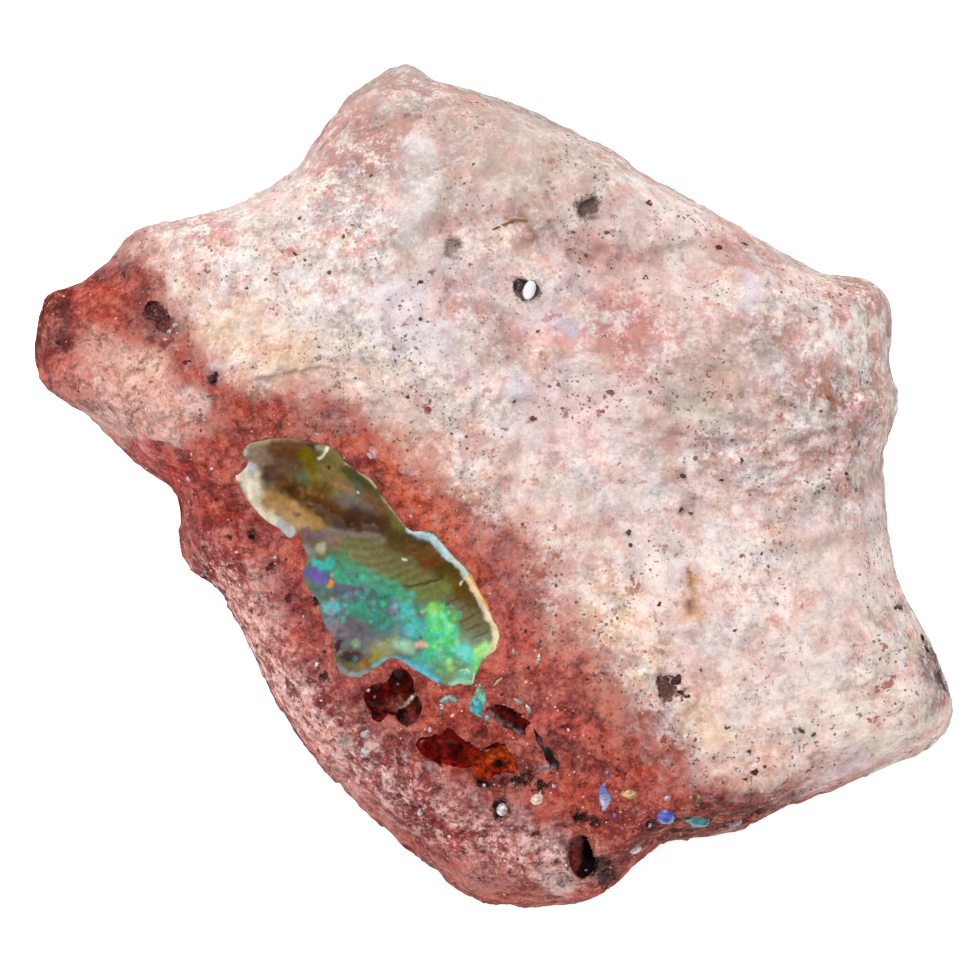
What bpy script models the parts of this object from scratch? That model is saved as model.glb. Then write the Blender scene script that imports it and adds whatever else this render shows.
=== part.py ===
"""A boulder fire opal: a rough piece of pink rhyolite, with a lens of precious opal, pools of fire opal
and beads of glassy opal set in the hollows of its brick-red band. It lies on a flat break.

Sizes are in millimetres in the stone's own frame, and MM turns them into metres at each mesh.
+X runs along the stone's width, +Y towards its peak, and +Z up from the flat break that it rests on.
Directions in the plane are compass angles in degrees, counted from +X towards +Y.
"""

import math

import bmesh
import bpy
import numpy as np
from mathutils import Vector, noise

MM = 0.001

# ---- Driving dimensions ----------------------------------------------------------------------------

FACE_HEIGHT = 17.8  # top of the pale face above the flat break
RIM_HEIGHT = 8.6  # height of the widest line round the stone, before its waves
RIM_WAVES = [(1, 1.2, 100.0), (2, 0.7, 0.0), (3, 0.7, -40.0)]  # waves round the stone, height, crest
TOP_EDGE = 2.0  # how far in from the widest line the top side is rounded off
FOOT_INSET = 3.3  # how far in from the widest line the sides reach the flat break, before its waves
FOOT_WAVES = [(2, 0.9, 55.0), (5, 0.8, 20.0)]
SIDE_BEND = 0.6  # below 1, the sides start down steeply from the widest line and ease off
FACET_BLEND = 0.4  # how softly neighbouring faces of the stone run into each other
POCKET_GAP = 0.25  # clearance between a piece of opal and the hollow that it fills

# The widest line round the stone, seen from above: right side, top edge, peak, left end, foot.
OUTLINE = [
    (19.4, 0.0), (19.4, 1.6), (20.1, 3.9), (19.7, 6.2), (19.6, 9.0), (18.8, 10.1), (17.2, 10.5),
    (15.6, 10.9), (13.2, 12.3), (10.0, 14.2), (7.4, 15.6), (5.9, 16.7), (3.8, 17.8), (0.0, 19.4),
    (-3.0, 20.3), (-4.2, 21.0), (-5.1, 21.0), (-7.3, 19.5), (-8.8, 17.6), (-10.3, 15.6),
    (-13.0, 14.1), (-16.3, 13.3), (-18.1, 12.6), (-19.0, 11.6), (-20.5, 10.4), (-22.6, 9.3),
    (-23.0, 7.0), (-22.6, 5.0), (-20.6, 3.6), (-18.3, 1.5), (-16.0, -0.4), (-15.8, -2.5),
    (-15.2, -4.0), (-13.8, -5.3), (-12.2, -8.3), (-10.9, -11.0), (-8.6, -14.2), (-6.1, -16.7),
    (-3.0, -19.3), (-0.8, -20.8), (2.6, -21.1), (5.2, -20.6), (7.1, -18.9), (8.4, -17.9),
    (11.9, -17.3), (14.5, -16.1), (18.2, -14.7), (22.0, -12.8), (22.9, -11.1), (21.9, -8.2),
    (20.4, -5.3), (19.8, -3.2),
]  # fmt: skip

# Broken faces of the top side: x and y of a point that each passes through, its drop below the pale
# face there, the compass angle that it slopes down towards, and its slope.
TOP_FACES = {
    "pale_face": (0.0, 4.0, 0.0, -50, 3),
    "upper_slope": (3.0, 12.4, 0.0, 64, 17),
    "peak_flank": (-7.0, 16.0, 1.2, 145, 33),
    "left_shoulder": (-12.5, 11.4, 0.7, 112, 34),
    "left_end": (-20.0, 7.0, 1.4, 187, 40),
    "left_facet": (-18.4, 2.8, 1.9, -140, 42),
    "red_face": (1.0, -6.0, 0.3, -130, 12),
    "foot_face": (1.0, -14.4, 1.9, -112, 30),
    "streaked_rim": (-10.3, -9.6, 2.6, -146, 54),
    "dark_edge": (15.0, -14.7, 1.0, -70, 50),
    "right_end": (20.4, -9.0, 1.4, 18, 40),
    "right_edge": (18.0, 6.0, 0.6, 5, 34),
}

# Broken corners of the underside: the compass angle that each faces, how far from the middle it
# leaves the flat break, and its slope.
UNDER_CORNERS = [(8, 14.4, 46), (74, 13.6, 40), (112, 14.8, 52), (172, 15.2, 42), (243, 14.2, 48), (318, 18.4, 44)]
UNDER_DEPTH = 1.2  # how far the uncut underside reaches below the flat break

# Long low forms on the top side: the points that each follows, its half width to the left and to the
# right of that line, and its height, which is below zero for a furrow. A ledge has a steep right side.
RIDGES = {
    "upper_furrow": ([(-2.4, 13.2), (1.4, 12.4), (4.6, 11.3), (8.2, 11.2), (11.8, 12.3)], 0.8, 1.2, -0.7),
    "middle_crease": ([(-2.4, 12.6), (-2.1, 9.6), (-1.6, 6.6)], 1.6, 0.6, -0.3),
    "top_ledge": ([(8.6, 4.4), (12.0, 4.2), (15.6, 4.8), (19.4, 6.2)], 2.2, 0.6, 0.6),
    "middle_ledge": ([(7.0, 2.9), (10.6, 2.0), (14.6, 2.4), (19.4, 3.9)], 1.2, 0.6, 0.5),
    "low_ledge": ([(8.0, 0.6), (13.0, 0.2), (17.0, 0.9), (19.6, 1.8)], 1.4, 0.7, 0.4),
    "rim_ridge": ([(-14.4, -3.0), (-11.8, -7.2), (-9.3, -11.0), (-6.2, -14.6)], 0.8, 0.5, 0.4),
    "peak_ridge": ([(-5.2, 20.0), (-4.6, 16.8), (-2.8, 13.8)], 0.9, 1.8, 0.5),
    "left_step": ([(-19.8, 11.0), (-17.6, 8.8), (-15.2, 6.6), (-13.4, 4.0)], 1.6, 0.7, 0.4),
}
MOUNDS = {  # x, y, half width along X and along Y, height
    "right_mound": (10.0, 7.8, 4.2, 2.4, 0.6),
    "pale_mound": (-7.0, 9.4, 4.5, 3.5, 0.45),
    "lower_mound": (15.0, -7.0, 4.6, 3.8, 0.6),
    "middle_dish": (4.0, -0.5, 4.5, 3.0, -0.4),
    "left_dish": (-17.6, 6.0, 2.4, 2.0, -0.5),
    "foot_dish": (-1.0, -17.2, 2.6, 1.6, -0.4),
}
LUMPS = [(4.6, 0.42), (1.9, 0.16)]  # size and height of the top side's lumps, coarse and fine
UNDER_LUMPS = [(5.5, 0.9), (2.4, 0.3)]

# Open pits: x, y and mouth radius. Each is as deep as DEPTH_SHARE times its radius.
PITS = {
    "grey_pit": (4.65, 13.9, 0.55),
    "small_grey_pit": (-2.15, 11.85, 0.4),
    "foot_corner_pit": (5.6, -19.8, 0.45),
    "row_pit": (1.3, -14.7, 0.5),
    "red_corner_pit": (-17.1, 8.6, 0.5),
    "pale_pit": (8.7, -10.1, 0.42),
    "right_side_pit": (21.6, -9.0, 0.45),
}
DEPTH_SHARE = 1.4

# The mesh that each solid starts from is a ball of triangles.
STONE_BALL, LENS_BALL, POOL_BALL, BEAD_BALL = 4, 4, 3, 2  # how often each is divided
TOP_SHARE = 0.62  # share of the way down the ball that becomes the stone's top side
WALL_FROM = 72  # a set piece's upright wall starts this many degrees down its ball
CUTTER_RISE = 2.5  # how far a cutter stands out of the stone's face


# ---- Curves and heights ----------------------------------------------------------------------------


def smooth_loop(points, steps=8):
    """Points along a closed smooth curve that passes through the given ones (a Catmull-Rom curve)."""
    p = np.array(points, float)
    before, after, later = np.roll(p, 1, 0), np.roll(p, -1, 0), np.roll(p, -2, 0)
    t = np.linspace(0, 1, steps, endpoint=False)[:, None, None]
    curve = 0.5 * (
        2 * p
        + (after - before) * t
        + (2 * before - 5 * p + 4 * after - later) * t**2
        + (3 * p - before - 3 * after + later) * t**3
    )
    return curve.transpose(1, 0, 2).reshape(-1, 2)


def oval(x, y, half_length, half_width, turn, points=12):
    """Points of an ellipse whose length lies along the compass angle turn."""
    around = np.radians(np.arange(points) * 360 / points)
    along, across = half_length * np.cos(around), half_width * np.sin(around)
    a = math.radians(turn)
    return np.column_stack(
        [
            x + along * math.cos(a) - across * math.sin(a),
            y + along * math.sin(a) + across * math.cos(a),
        ]
    )


def reach(points, centre, angle, grow=0.0):
    """How far a closed outline lies from a centre that sees all of it, for each compass angle in
    radians. A grown outline lies that much further out, square to its edge."""
    curve = smooth_loop(points)
    ahead = np.roll(curve, -1, 0) - np.roll(curve, 1, 0)
    outward = np.column_stack([ahead[:, 1], -ahead[:, 0]]) / np.linalg.norm(ahead, axis=1)[:, None]
    arms = curve - np.array(centre, float)
    arms = arms + grow * outward * np.sign((arms * outward).sum())
    angles = np.arctan2(arms[:, 1], arms[:, 0])
    order = np.argsort(angles)
    return np.interp(angle, angles[order], np.hypot(*arms[order].T), period=2 * math.pi)


def beside(points, x, y):
    """Distance from a line of joined straight stretches, below zero on its right."""
    nearest = np.full(np.shape(x), 1e9)
    for (ax, ay), (bx, by) in zip(points, points[1:]):
        dx, dy = bx - ax, by - ay
        along = np.clip(((x - ax) * dx + (y - ay) * dy) / (dx * dx + dy * dy), 0, 1)
        away = np.hypot(x - ax - along * dx, y - ay - along * dy)
        side = np.where(dx * (y - ay) - dy * (x - ax) < 0, -1.0, 1.0)
        nearest = np.where(away < np.abs(nearest), away * side, nearest)
    return nearest


def soft_least(fields, blend):
    """The least of several fields, with the corners between them rounded off."""
    stack = np.array(fields)
    least = stack.min(0)
    return least - blend * np.log(np.exp((least - stack) / blend).sum(0))


def lumpy(x, y, layers):
    """Smooth uneven relief, the same on each run."""
    spots = list(zip(x.flat, y.flat))
    relief = 0
    for size, height in layers:
        layer = [noise.fractal(Vector((px, py, size)) / size, 1.0, 2.0, 3) for px, py in spots]
        relief = relief + height * np.reshape(layer, np.shape(x))
    return relief


def waves(angle, layers):
    """Waves round the stone, from how many there are, their height and the angle of a crest."""
    return sum(rise * np.cos(count * (angle - math.radians(crest))) for count, rise, crest in layers)


def top_faces(x, y):
    """Height of the top side's broken faces and forms, before its edge is rounded off."""
    faces = []
    for px, py, drop, towards, slope in TOP_FACES.values():
        a = math.radians(towards)
        downhill = (x - px) * math.cos(a) + (y - py) * math.sin(a)
        faces.append(FACE_HEIGHT - drop - math.tan(math.radians(slope)) * downhill)
    height = soft_least(faces, FACET_BLEND)
    for points, left_width, right_width, rise in RIDGES.values():
        away = beside(points, x, y)
        height = height + rise * np.exp(-((away / np.where(away > 0, left_width, right_width)) ** 2))
    for mx, my, half_x, half_y, rise in MOUNDS.values():
        height = height + rise * np.exp(-(((x - mx) / half_x) ** 2) - ((y - my) / half_y) ** 2)
    return height + lumpy(x, y, LUMPS)


def under_faces(x, y):
    """Height of the broken corners of the underside, which climb from below the flat break."""
    corners = [np.full(np.shape(x), UNDER_DEPTH)]
    for towards, away, slope in UNDER_CORNERS:
        a = math.radians(towards)
        uphill = x * math.cos(a) + y * math.sin(a) - away
        corners.append(-math.tan(math.radians(slope)) * uphill)
    return lumpy(x, y, UNDER_LUMPS) - soft_least(corners, FACET_BLEND)


def inside(x, y):
    """Distance in from the widest line, square to it."""
    line = smooth_loop(OUTLINE, steps=3)
    return np.abs(beside(list(line) + [line[0]], x, y))


def stone_height(x, y, top=True):
    """Height of the stone's top side or underside, with its edge rounded off at the widest line."""
    angle = np.arctan2(y, x)
    rim = RIM_HEIGHT + waves(angle, RIM_WAVES)
    within = inside(x, y)
    if top:
        rounded = np.clip(within / TOP_EDGE, 0, 1)
        return rim + np.maximum(top_faces(x, y) - rim, 1) * np.sqrt(1 - (1 - rounded) ** 2)
    down_side = np.clip(within / (FOOT_INSET + waves(angle, FOOT_WAVES)), 0, 1) ** SIDE_BEND
    side = rim - (rim + UNDER_DEPTH) * down_side
    return np.minimum(-soft_least([-side, -under_faces(x, y)], FACET_BLEND), rim)


# ---- Making solids ---------------------------------------------------------------------------------


def unit_ball(divided):
    bm = bmesh.new()
    bmesh.ops.create_icosphere(bm, subdivisions=divided, radius=1.0)
    return bm


def ball_angles(bm):
    """The compass angle of each vertex of a unit ball, and its angle down from the top."""
    co = np.array([v.co for v in bm.verts])
    return np.arctan2(co[:, 1], co[:, 0]), np.arccos(np.clip(co[:, 2], -1, 1))


def place(bm, x, y, z):
    for v, *spot in zip(bm.verts, x, y, z):
        v.co = Vector(spot) * MM


def add_object(name, bm, colour, roughness):
    mesh = bpy.data.meshes.new(name)
    bm.to_mesh(mesh)
    bm.free()
    obj = bpy.data.objects.new(name, mesh)
    bpy.context.scene.collection.objects.link(obj)
    material = bpy.data.materials.new(name)
    material.use_nodes = True
    shader = material.node_tree.nodes["Principled BSDF"]
    shader.inputs["Base Color"].default_value = (*colour, 1)
    shader.inputs["Roughness"].default_value = roughness
    shader.inputs["Metallic"].default_value = 0.0
    mesh.materials.append(material)
    return obj


def cut(stone, cutter):
    """Takes the cutter's shape out of the stone, and keeps the cutter as a hidden guide."""
    cutter.hide_render = True
    cutter.display_type = "WIRE"
    boolean = stone.modifiers.new(cutter.name, "BOOLEAN")
    boolean.operation = "DIFFERENCE"
    boolean.solver = "EXACT"
    boolean.object = cutter


def stone_body():
    """The rhyolite as a closed body: a ball drawn out to the outline, between its top and underside,
    with its top divided once more, and cut off flat where it rests."""
    bm = unit_ball(STONE_BALL)
    top_end = math.pi * TOP_SHARE
    finer = [e for e in bm.edges if all(v.co.z > math.cos(top_end) for v in e.verts)]
    bmesh.ops.subdivide_edges(bm, edges=finer, cuts=1, use_grid_fill=True)
    bmesh.ops.triangulate(bm, faces=bm.faces[:])
    for v in bm.verts:
        v.co.normalize()
    angle, down = ball_angles(bm)
    on_top = down <= top_end
    turn = np.where(on_top, down / top_end, (math.pi - down) / (math.pi - top_end)) * math.pi / 2
    out = np.sin(turn) * reach(OUTLINE, (0, 0), angle)
    x, y = out * np.cos(angle), out * np.sin(angle)
    place(bm, x, y, np.where(on_top, stone_height(x, y), stone_height(x, y, top=False)))
    flat_break = bmesh.ops.bisect_plane(
        bm,
        geom=bm.verts[:] + bm.edges[:] + bm.faces[:],
        plane_co=(0, 0, 0),
        plane_no=(0, 0, -1),
        clear_outer=True,
    )
    cut_edges = [e for e in flat_break["geom_cut"] if isinstance(e, bmesh.types.BMEdge)]
    bmesh.ops.contextual_create(bm, geom=cut_edges)
    bmesh.ops.recalc_face_normals(bm, faces=bm.faces[:])
    return bm


def set_piece(name, points, centre, sink, depth, dish, colour, roughness, ball, gap=0.0):
    """A piece of opal that fills a hollow, or with a gap, the cutter of that hollow.

    sink is how far its edge lies below the stone's face, depth how far its bottom reaches under the
    edge, and dish how far its upper surface is hollowed, or raised where it is below zero.
    """
    bm = unit_ball(ball)
    angle, down = ball_angles(bm)
    share = np.minimum(np.sin(down) / math.sin(math.radians(WALL_FROM)), 1)
    out = share * reach(points, centre, angle, grow=gap)
    x, y = centre[0] + out * np.cos(angle), centre[1] + out * np.sin(angle)
    face = stone_height(x, y)
    upper = face + CUTTER_RISE if gap else face - sink - dish * (1 - share**2)
    lower = face - sink - gap - depth * np.sqrt(1 - 0.9 * share**2)
    down_wall = np.clip((np.degrees(down) - WALL_FROM) / (180 - 2 * WALL_FROM), 0, 1)
    place(bm, x, y, upper + (lower - upper) * down_wall)
    return add_object(name, bm, colour, roughness)


def fill_hollow(stone, name, points, centre, **form):
    """Makes a set piece and cuts its hollow into the stone."""
    set_piece(name, points, centre, **form)
    cut(stone, set_piece(name + "_hollow", points, centre, gap=POCKET_GAP, **form))


# ---- The stone -------------------------------------------------------------------------------------


def rhyolite_matrix():
    """The host rock, cream-pink with a brick-red band, and its open pits."""
    stone = add_object("rhyolite_matrix", stone_body(), (0.71, 0.52, 0.47), 0.85)
    for name, (x, y, radius) in PITS.items():
        bm = unit_ball(BEAD_BALL)
        mouth = stone_height(np.array([x]), np.array([y]))[0]
        spots = np.array([v.co for v in bm.verts]) * radius * (1, 1, DEPTH_SHARE) + (x, y, mouth)
        place(bm, *spots.T)
        cut(stone, add_object(name, bm, (0.2, 0.08, 0.07), 0.8))
    return stone


# ---- The opal, largest piece first -----------------------------------------------------------------


def precious_opal(stone):
    """The lens with the play of colour: a scooped, shell-like break across a hollow in the rock."""
    lens = [
        (-12.7, 1.0), (-12.4, 2.0), (-11.5, 2.4), (-9.6, 2.3), (-8.0, 2.0), (-7.0, 1.1), (-6.0, 0.0),
        (-5.4, -1.2), (-4.6, -2.2), (-3.3, -2.5), (-2.4, -3.3), (-1.2, -4.8), (-0.5, -6.3),
        (0.1, -7.7), (-0.3, -8.8), (-1.0, -9.8), (-2.1, -9.9), (-3.2, -9.4), (-4.5, -8.8),
        (-5.6, -8.7), (-6.4, -9.3), (-7.5, -9.4), (-8.4, -8.8), (-8.6, -7.6), (-9.1, -6.2),
        (-9.5, -4.6), (-9.6, -3.2), (-10.3, -2.4), (-11.6, -1.5), (-12.4, 0.0),
    ]  # fmt: skip
    fill_hollow(
        stone, "precious_opal", lens, (-6.3, -4.0),
        sink=0.1, depth=2.6, dish=1.1, colour=(0.16, 0.36, 0.24), roughness=0.12, ball=LENS_BALL,
    )  # fmt: skip


def fire_opal_pool(stone):
    """The two-lobed orange-red pool, glassy and level with the rock."""
    pool = [
        (-4.0, -12.6), (-3.7, -12.3), (-3.0, -12.1), (-2.3, -11.9), (-1.5, -12.3), (-0.8, -12.9),
        (-0.2, -12.9), (0.3, -12.7), (0.7, -13.1), (1.0, -13.9), (0.6, -14.4), (-0.1, -14.7),
        (-0.8, -14.5), (-1.3, -14.2), (-2.2, -14.0), (-3.2, -13.6), (-3.8, -13.1),
    ]  # fmt: skip
    fill_hollow(
        stone, "fire_opal_pool", pool, (-1.6, -13.3),
        sink=0.05, depth=1.1, dish=0.15, colour=(0.17, 0.012, 0.006), roughness=0.08, ball=POOL_BALL,
    )  # fmt: skip


def cherry_opal_cluster(stone):
    """Dark cherry-red opal that grew as three drops together in one hollow."""
    cluster = [
        (-6.8, -10.7), (-6.5, -9.9), (-5.8, -9.8), (-5.3, -9.3), (-4.7, -9.1), (-4.2, -9.5),
        (-3.9, -10.3), (-3.6, -10.9), (-3.5, -11.6), (-3.8, -12.0), (-4.4, -12.1), (-4.9, -11.6),
        (-5.5, -11.8), (-6.2, -11.6),
    ]  # fmt: skip
    fill_hollow(
        stone, "cherry_opal_cluster", cluster, (-5.1, -10.8),
        sink=0.15, depth=1.2, dish=0.5, colour=(0.06, 0.006, 0.006), roughness=0.1, ball=POOL_BALL,
    )  # fmt: skip


def dark_opal_pocket(stone):
    """Dark opal that lines the deep hollow by the stone's foot."""
    fill_hollow(
        stone, "dark_opal_pocket", oval(4.35, -18.6, 1.25, 0.7, 100), (4.35, -18.6),
        sink=0.25, depth=1.6, dish=1.0, colour=(0.06, 0.008, 0.01), roughness=0.15, ball=POOL_BALL,
    )  # fmt: skip


def opal_splinters(stone):
    """The turquoise splinter below the lens, and the smoky bar and vein that trail from it."""
    turquoise = [(-1.1, -11.5), (-1.2, -10.8), (-0.9, -10.1), (-0.6, -9.9), (-0.4, -10.4), (-0.6, -11.4)]
    splinters = {  # outline, centre, depth, colour
        "turquoise_opal_sliver": (turquoise, (-0.8, -10.8), 0.6, (0.1, 0.45, 0.38)),
        "smoky_opal_bar": (oval(0.75, -11.75, 1.1, 0.42, -32), (0.75, -11.75), 0.7, (0.1, 0.025, 0.03)),
        "smoky_opal_vein": (oval(2.35, -13.1, 1.15, 0.26, -56), (2.35, -13.1), 0.5, (0.08, 0.05, 0.08)),
    }
    for name, (points, centre, depth, colour) in splinters.items():
        fill_hollow(
            stone, name, points, centre,
            sink=0.04, depth=depth, dish=0.06, colour=colour, roughness=0.15, ball=BEAD_BALL,
        )  # fmt: skip


def opal_beads(stone):
    """Single beads and grains of opal that fill the rock's smaller bubbles."""
    beads = {  # x, y, half length, half width, turn, colour
        "lavender_opal_streak": (5.35, -15.3, 0.55, 0.28, -75, (0.25, 0.3, 0.55)),
        "blue_opal_bead": (8.45, -16.4, 0.36, 0.34, 0, (0.1, 0.16, 0.7)),
        "teal_opal_grain": (9.95, -16.5, 0.55, 0.3, -15, (0.1, 0.4, 0.42)),
        "yellow_opal_grain": (6.8, -15.45, 0.34, 0.2, -15, (0.7, 0.5, 0.18)),
        "milky_opal_bead": (0.2, -16.1, 0.42, 0.38, 60, (0.75, 0.7, 0.66)),
        "cream_opal_bead": (2.25, -15.5, 0.34, 0.3, 60, (0.75, 0.62, 0.5)),
        "white_opal_bead": (6.9, -18.0, 0.32, 0.26, 20, (0.75, 0.72, 0.72)),
        "clear_opal_drop": (1.62, 9.75, 0.42, 0.32, 80, (0.8, 0.8, 0.85)),
    }
    for name, (x, y, half_length, half_width, turn, colour) in beads.items():
        fill_hollow(
            stone, name, oval(x, y, half_length, half_width, turn, points=8), (x, y),
            sink=0.08, depth=0.45, dish=-0.12, colour=colour, roughness=0.1, ball=BEAD_BALL,
        )  # fmt: skip


for old_object in list(bpy.data.objects):
    bpy.data.objects.remove(old_object, do_unlink=True)
host_rock = rhyolite_matrix()
precious_opal(host_rock)
fire_opal_pool(host_rock)
cherry_opal_cluster(host_rock)
dark_opal_pocket(host_rock)
opal_splinters(host_rock)
opal_beads(host_rock)
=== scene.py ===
"""A boulder fire opal: a rough broken piece of pink rhyolite, with a scooped lens of precious opal, red
fire opal and small bubble fillings of glassy opal in its brick-red band, lying on its flat break.

Sizes are in millimetres in the stone's own frame, and MM turns them into metres at each mesh.
+X runs along the stone's width, +Y towards its peak, and +Z up from the flat break.
Directions in the plane are compass angles in degrees, counted from +X towards +Y.
"""

import math

import bmesh
import bpy
import numpy as np
from mathutils import Matrix, Vector, noise
from mathutils.bvhtree import BVHTree


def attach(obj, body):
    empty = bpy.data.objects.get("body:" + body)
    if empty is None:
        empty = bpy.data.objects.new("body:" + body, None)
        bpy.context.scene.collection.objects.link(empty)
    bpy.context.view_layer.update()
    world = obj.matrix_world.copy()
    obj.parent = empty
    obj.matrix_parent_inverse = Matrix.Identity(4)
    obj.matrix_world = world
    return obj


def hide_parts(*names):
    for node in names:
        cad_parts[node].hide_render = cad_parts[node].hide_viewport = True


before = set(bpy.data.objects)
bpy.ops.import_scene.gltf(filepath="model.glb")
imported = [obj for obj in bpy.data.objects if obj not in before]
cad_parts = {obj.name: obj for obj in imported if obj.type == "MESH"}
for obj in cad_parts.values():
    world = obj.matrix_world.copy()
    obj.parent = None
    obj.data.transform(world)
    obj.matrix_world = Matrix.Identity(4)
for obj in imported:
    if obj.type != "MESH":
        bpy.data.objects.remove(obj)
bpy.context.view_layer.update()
MM = 0.001
NOISE_SEED = 1795484654  # fixes the noise that moves points about, which is else drawn anew each run
noise.seed_set(NOISE_SEED)


# ---- Table, light and camera -----------------------------------------------------------------------
# A plain white table that the stone lies on. A broad soft light stands over the stone's peak side, a
# weaker one opposite, and the camera looks straight down through a long lens.

VIEW_WIDTH = 49.0  # width of the table that the view spans at the height of the stone's rim
CAMERA_HEIGHT = 1000.0
FOCUS_HEIGHT = 12.0
VIEW_CENTRE = (-0.3, -0.22)
SENSOR_WIDTH = 36.0
TABLE_SIZE = 4000.0
TABLE_GAP = 0.02  # so that the stone's flat break and the table never share a surface
TABLE_WHITE = "#FAFAFA"
TABLE_GLOW = 0.56  # light that the table gives off, which keeps the stone's shadow on it faint
LAMPS = {  # place, width, power in watts
    "peak_side_light": ((-140, 250, 470), 520, 2.35),
    "foot_side_light": ((-240, -330, 380), 600, 0.5),
}
DAYLIGHT = (1, 0.985, 0.975)  # linear red, green and blue
DAYLIGHT_STRENGTH = 0.6


def tint(code):
    """A colour's sRGB hex code as linear red, green and blue."""
    parts = [int(code[i : i + 2], 16) / 255 for i in (1, 3, 5)]
    return tuple(c / 12.92 if c <= 0.04045 else ((c + 0.055) / 1.055) ** 2.4 for c in parts)


def solid(code):
    """A colour's sRGB hex code as a node's socket takes it, with nothing let through."""
    return (*tint(code), 1)


def add(tree, kind, settings=None, links=None):
    """Adds a shader node with its settings, and gives its inputs a value or another node's output.

    A Mix node's share is its input 0, its two colours are inputs 6 and 7, and its colour output 2.
    """
    made = tree.nodes.new("ShaderNode" + kind)
    for key, value in (settings or {}).items():
        setattr(made, key, value)
    for key, value in (links or {}).items():
        if isinstance(value, bpy.types.NodeSocket):
            tree.links.new(value, made.inputs[key])
        else:
            made.inputs[key].default_value = value
    return made


def new_material(name, roughness, specular=0.5):
    """A material and its node tree and Principled shader, with these two values set on the shader."""
    made = bpy.data.materials.new(name)
    made.use_nodes = True
    shader = made.node_tree.nodes["Principled BSDF"]
    shader.inputs["Roughness"].default_value = roughness
    shader.inputs["Specular IOR Level"].default_value = specular
    return made, made.node_tree, shader


table_form = bmesh.new()
bmesh.ops.create_grid(table_form, x_segments=1, y_segments=1, size=TABLE_SIZE / 2 * MM)
bmesh.ops.translate(table_form, verts=table_form.verts, vec=(0, 0, -TABLE_GAP * MM))
table_mesh = bpy.data.meshes.new("white_table")
table_form.to_mesh(table_mesh)
table_form.free()
white_table = bpy.data.objects.new("white_table", table_mesh)
bpy.context.scene.collection.objects.link(white_table)
# Matt white paint: even and without gloss, so it shows nothing but the stone's faint shadow.
white_paint, _, white_shader = new_material("matt_white_paint", 0.9, 0.1)
white_shader.inputs["Base Color"].default_value = solid(TABLE_WHITE)
white_shader.inputs["Emission Color"].default_value = (1, 1, 1, 1)
white_shader.inputs["Emission Strength"].default_value = TABLE_GLOW
table_mesh.materials.append(white_paint)

for name, (place, size, power) in LAMPS.items():
    light = bpy.data.lights.new(name, "AREA")
    light.shape = "DISK"
    light.size = size * MM
    light.energy = power
    lamp = bpy.data.objects.new(name, light)
    lamp.location = Vector(place) * MM
    lamp.rotation_euler = (-Vector(place)).to_track_quat("-Z", "Y").to_euler()
    bpy.context.scene.collection.objects.link(lamp)
daylight = bpy.data.worlds.new("soft_daylight")
daylight.use_nodes = True
daylight.node_tree.nodes["Background"].inputs["Color"].default_value = (*DAYLIGHT, 1)
daylight.node_tree.nodes["Background"].inputs["Strength"].default_value = DAYLIGHT_STRENGTH
bpy.context.scene.world = daylight
bpy.context.scene.view_settings.view_transform = "Standard"

overhead_lens = bpy.data.cameras.new("overhead_camera")
overhead_lens.sensor_width = SENSOR_WIDTH
overhead_lens.lens = SENSOR_WIDTH * (CAMERA_HEIGHT - FOCUS_HEIGHT) / VIEW_WIDTH
camera = bpy.data.objects.new("overhead_camera", overhead_lens)
camera.location = Vector((*VIEW_CENTRE, CAMERA_HEIGHT)) * MM
bpy.context.scene.collection.objects.link(camera)
bpy.context.scene.camera = camera


# ---- Rhyolite --------------------------------------------------------------------------------------
# The host rock: lava that cooled to a fine stony mass full of small gas bubbles. Iron has stained a
# band of it brick red. It broke along rough faces with a few ledges, and opal filled its hollows.
# Its top side is a field of heights, roughened by chips and grain.

FACE_HEIGHT = 17.8  # the pale face's middle, over the flat break
RIM_HEIGHT = 8.6  # the stone's widest line, over the flat break
RIM_WAVES = [(1, 1.2, 100.0), (2, 0.7, 0.0), (3, 0.7, -40.0)]  # its crests, their height, one's angle
TOP_EDGE = 2.0  # width over which the top side rounds off to that line
LEAST_DROP = 1.0  # by how much the top side stands over it at the least
FOOT_INSET = 3.3  # how far in from that line the sides come down to the flat break
FOOT_WAVES = [(2, 0.9, 55.0), (5, 0.8, 20.0)]
SIDE_BEND = 0.6  # how the sides bulge, where 1 is straight
FACET_BLEND = 0.4  # how rounded the corners between broken faces are
TOP_SHARE = 0.68  # share of the way down the starting ball that becomes the top side
LEAST_INSET = 0.3  # an inset's least size, as a share of the gap to the outline along its own arm
OUTLINE = [
    (19.4, 0.0), (19.4, 1.6), (20.1, 3.9), (19.7, 6.2), (19.6, 9.0), (18.8, 10.1), (17.2, 10.5),
    (15.6, 10.9), (13.2, 12.3), (10.0, 14.2), (7.4, 15.6), (5.9, 16.7), (3.8, 17.8), (0.0, 19.4),
    (-3.0, 20.3), (-4.2, 21.0), (-5.1, 21.0), (-7.3, 19.5), (-8.8, 17.6), (-10.3, 15.6),
    (-13.0, 14.1), (-16.3, 13.3), (-18.1, 12.6), (-19.0, 11.6), (-20.5, 10.4), (-22.6, 9.3),
    (-23.0, 7.0), (-22.6, 5.0), (-20.6, 3.6), (-18.3, 1.5), (-16.0, -0.4), (-15.8, -2.5),
    (-15.2, -4.0), (-13.8, -5.3), (-12.2, -8.3), (-10.9, -11.0), (-8.6, -14.2), (-6.1, -16.7),
    (-3.0, -19.3), (-0.8, -20.8), (2.6, -21.1), (5.2, -20.6), (7.1, -18.9), (8.4, -17.9),
    (11.9, -17.3), (14.5, -16.1), (18.2, -14.7), (22.0, -12.8), (22.9, -11.1), (21.9, -8.2),
    (20.4, -5.3), (19.8, -3.2),
]  # fmt: skip
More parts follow.
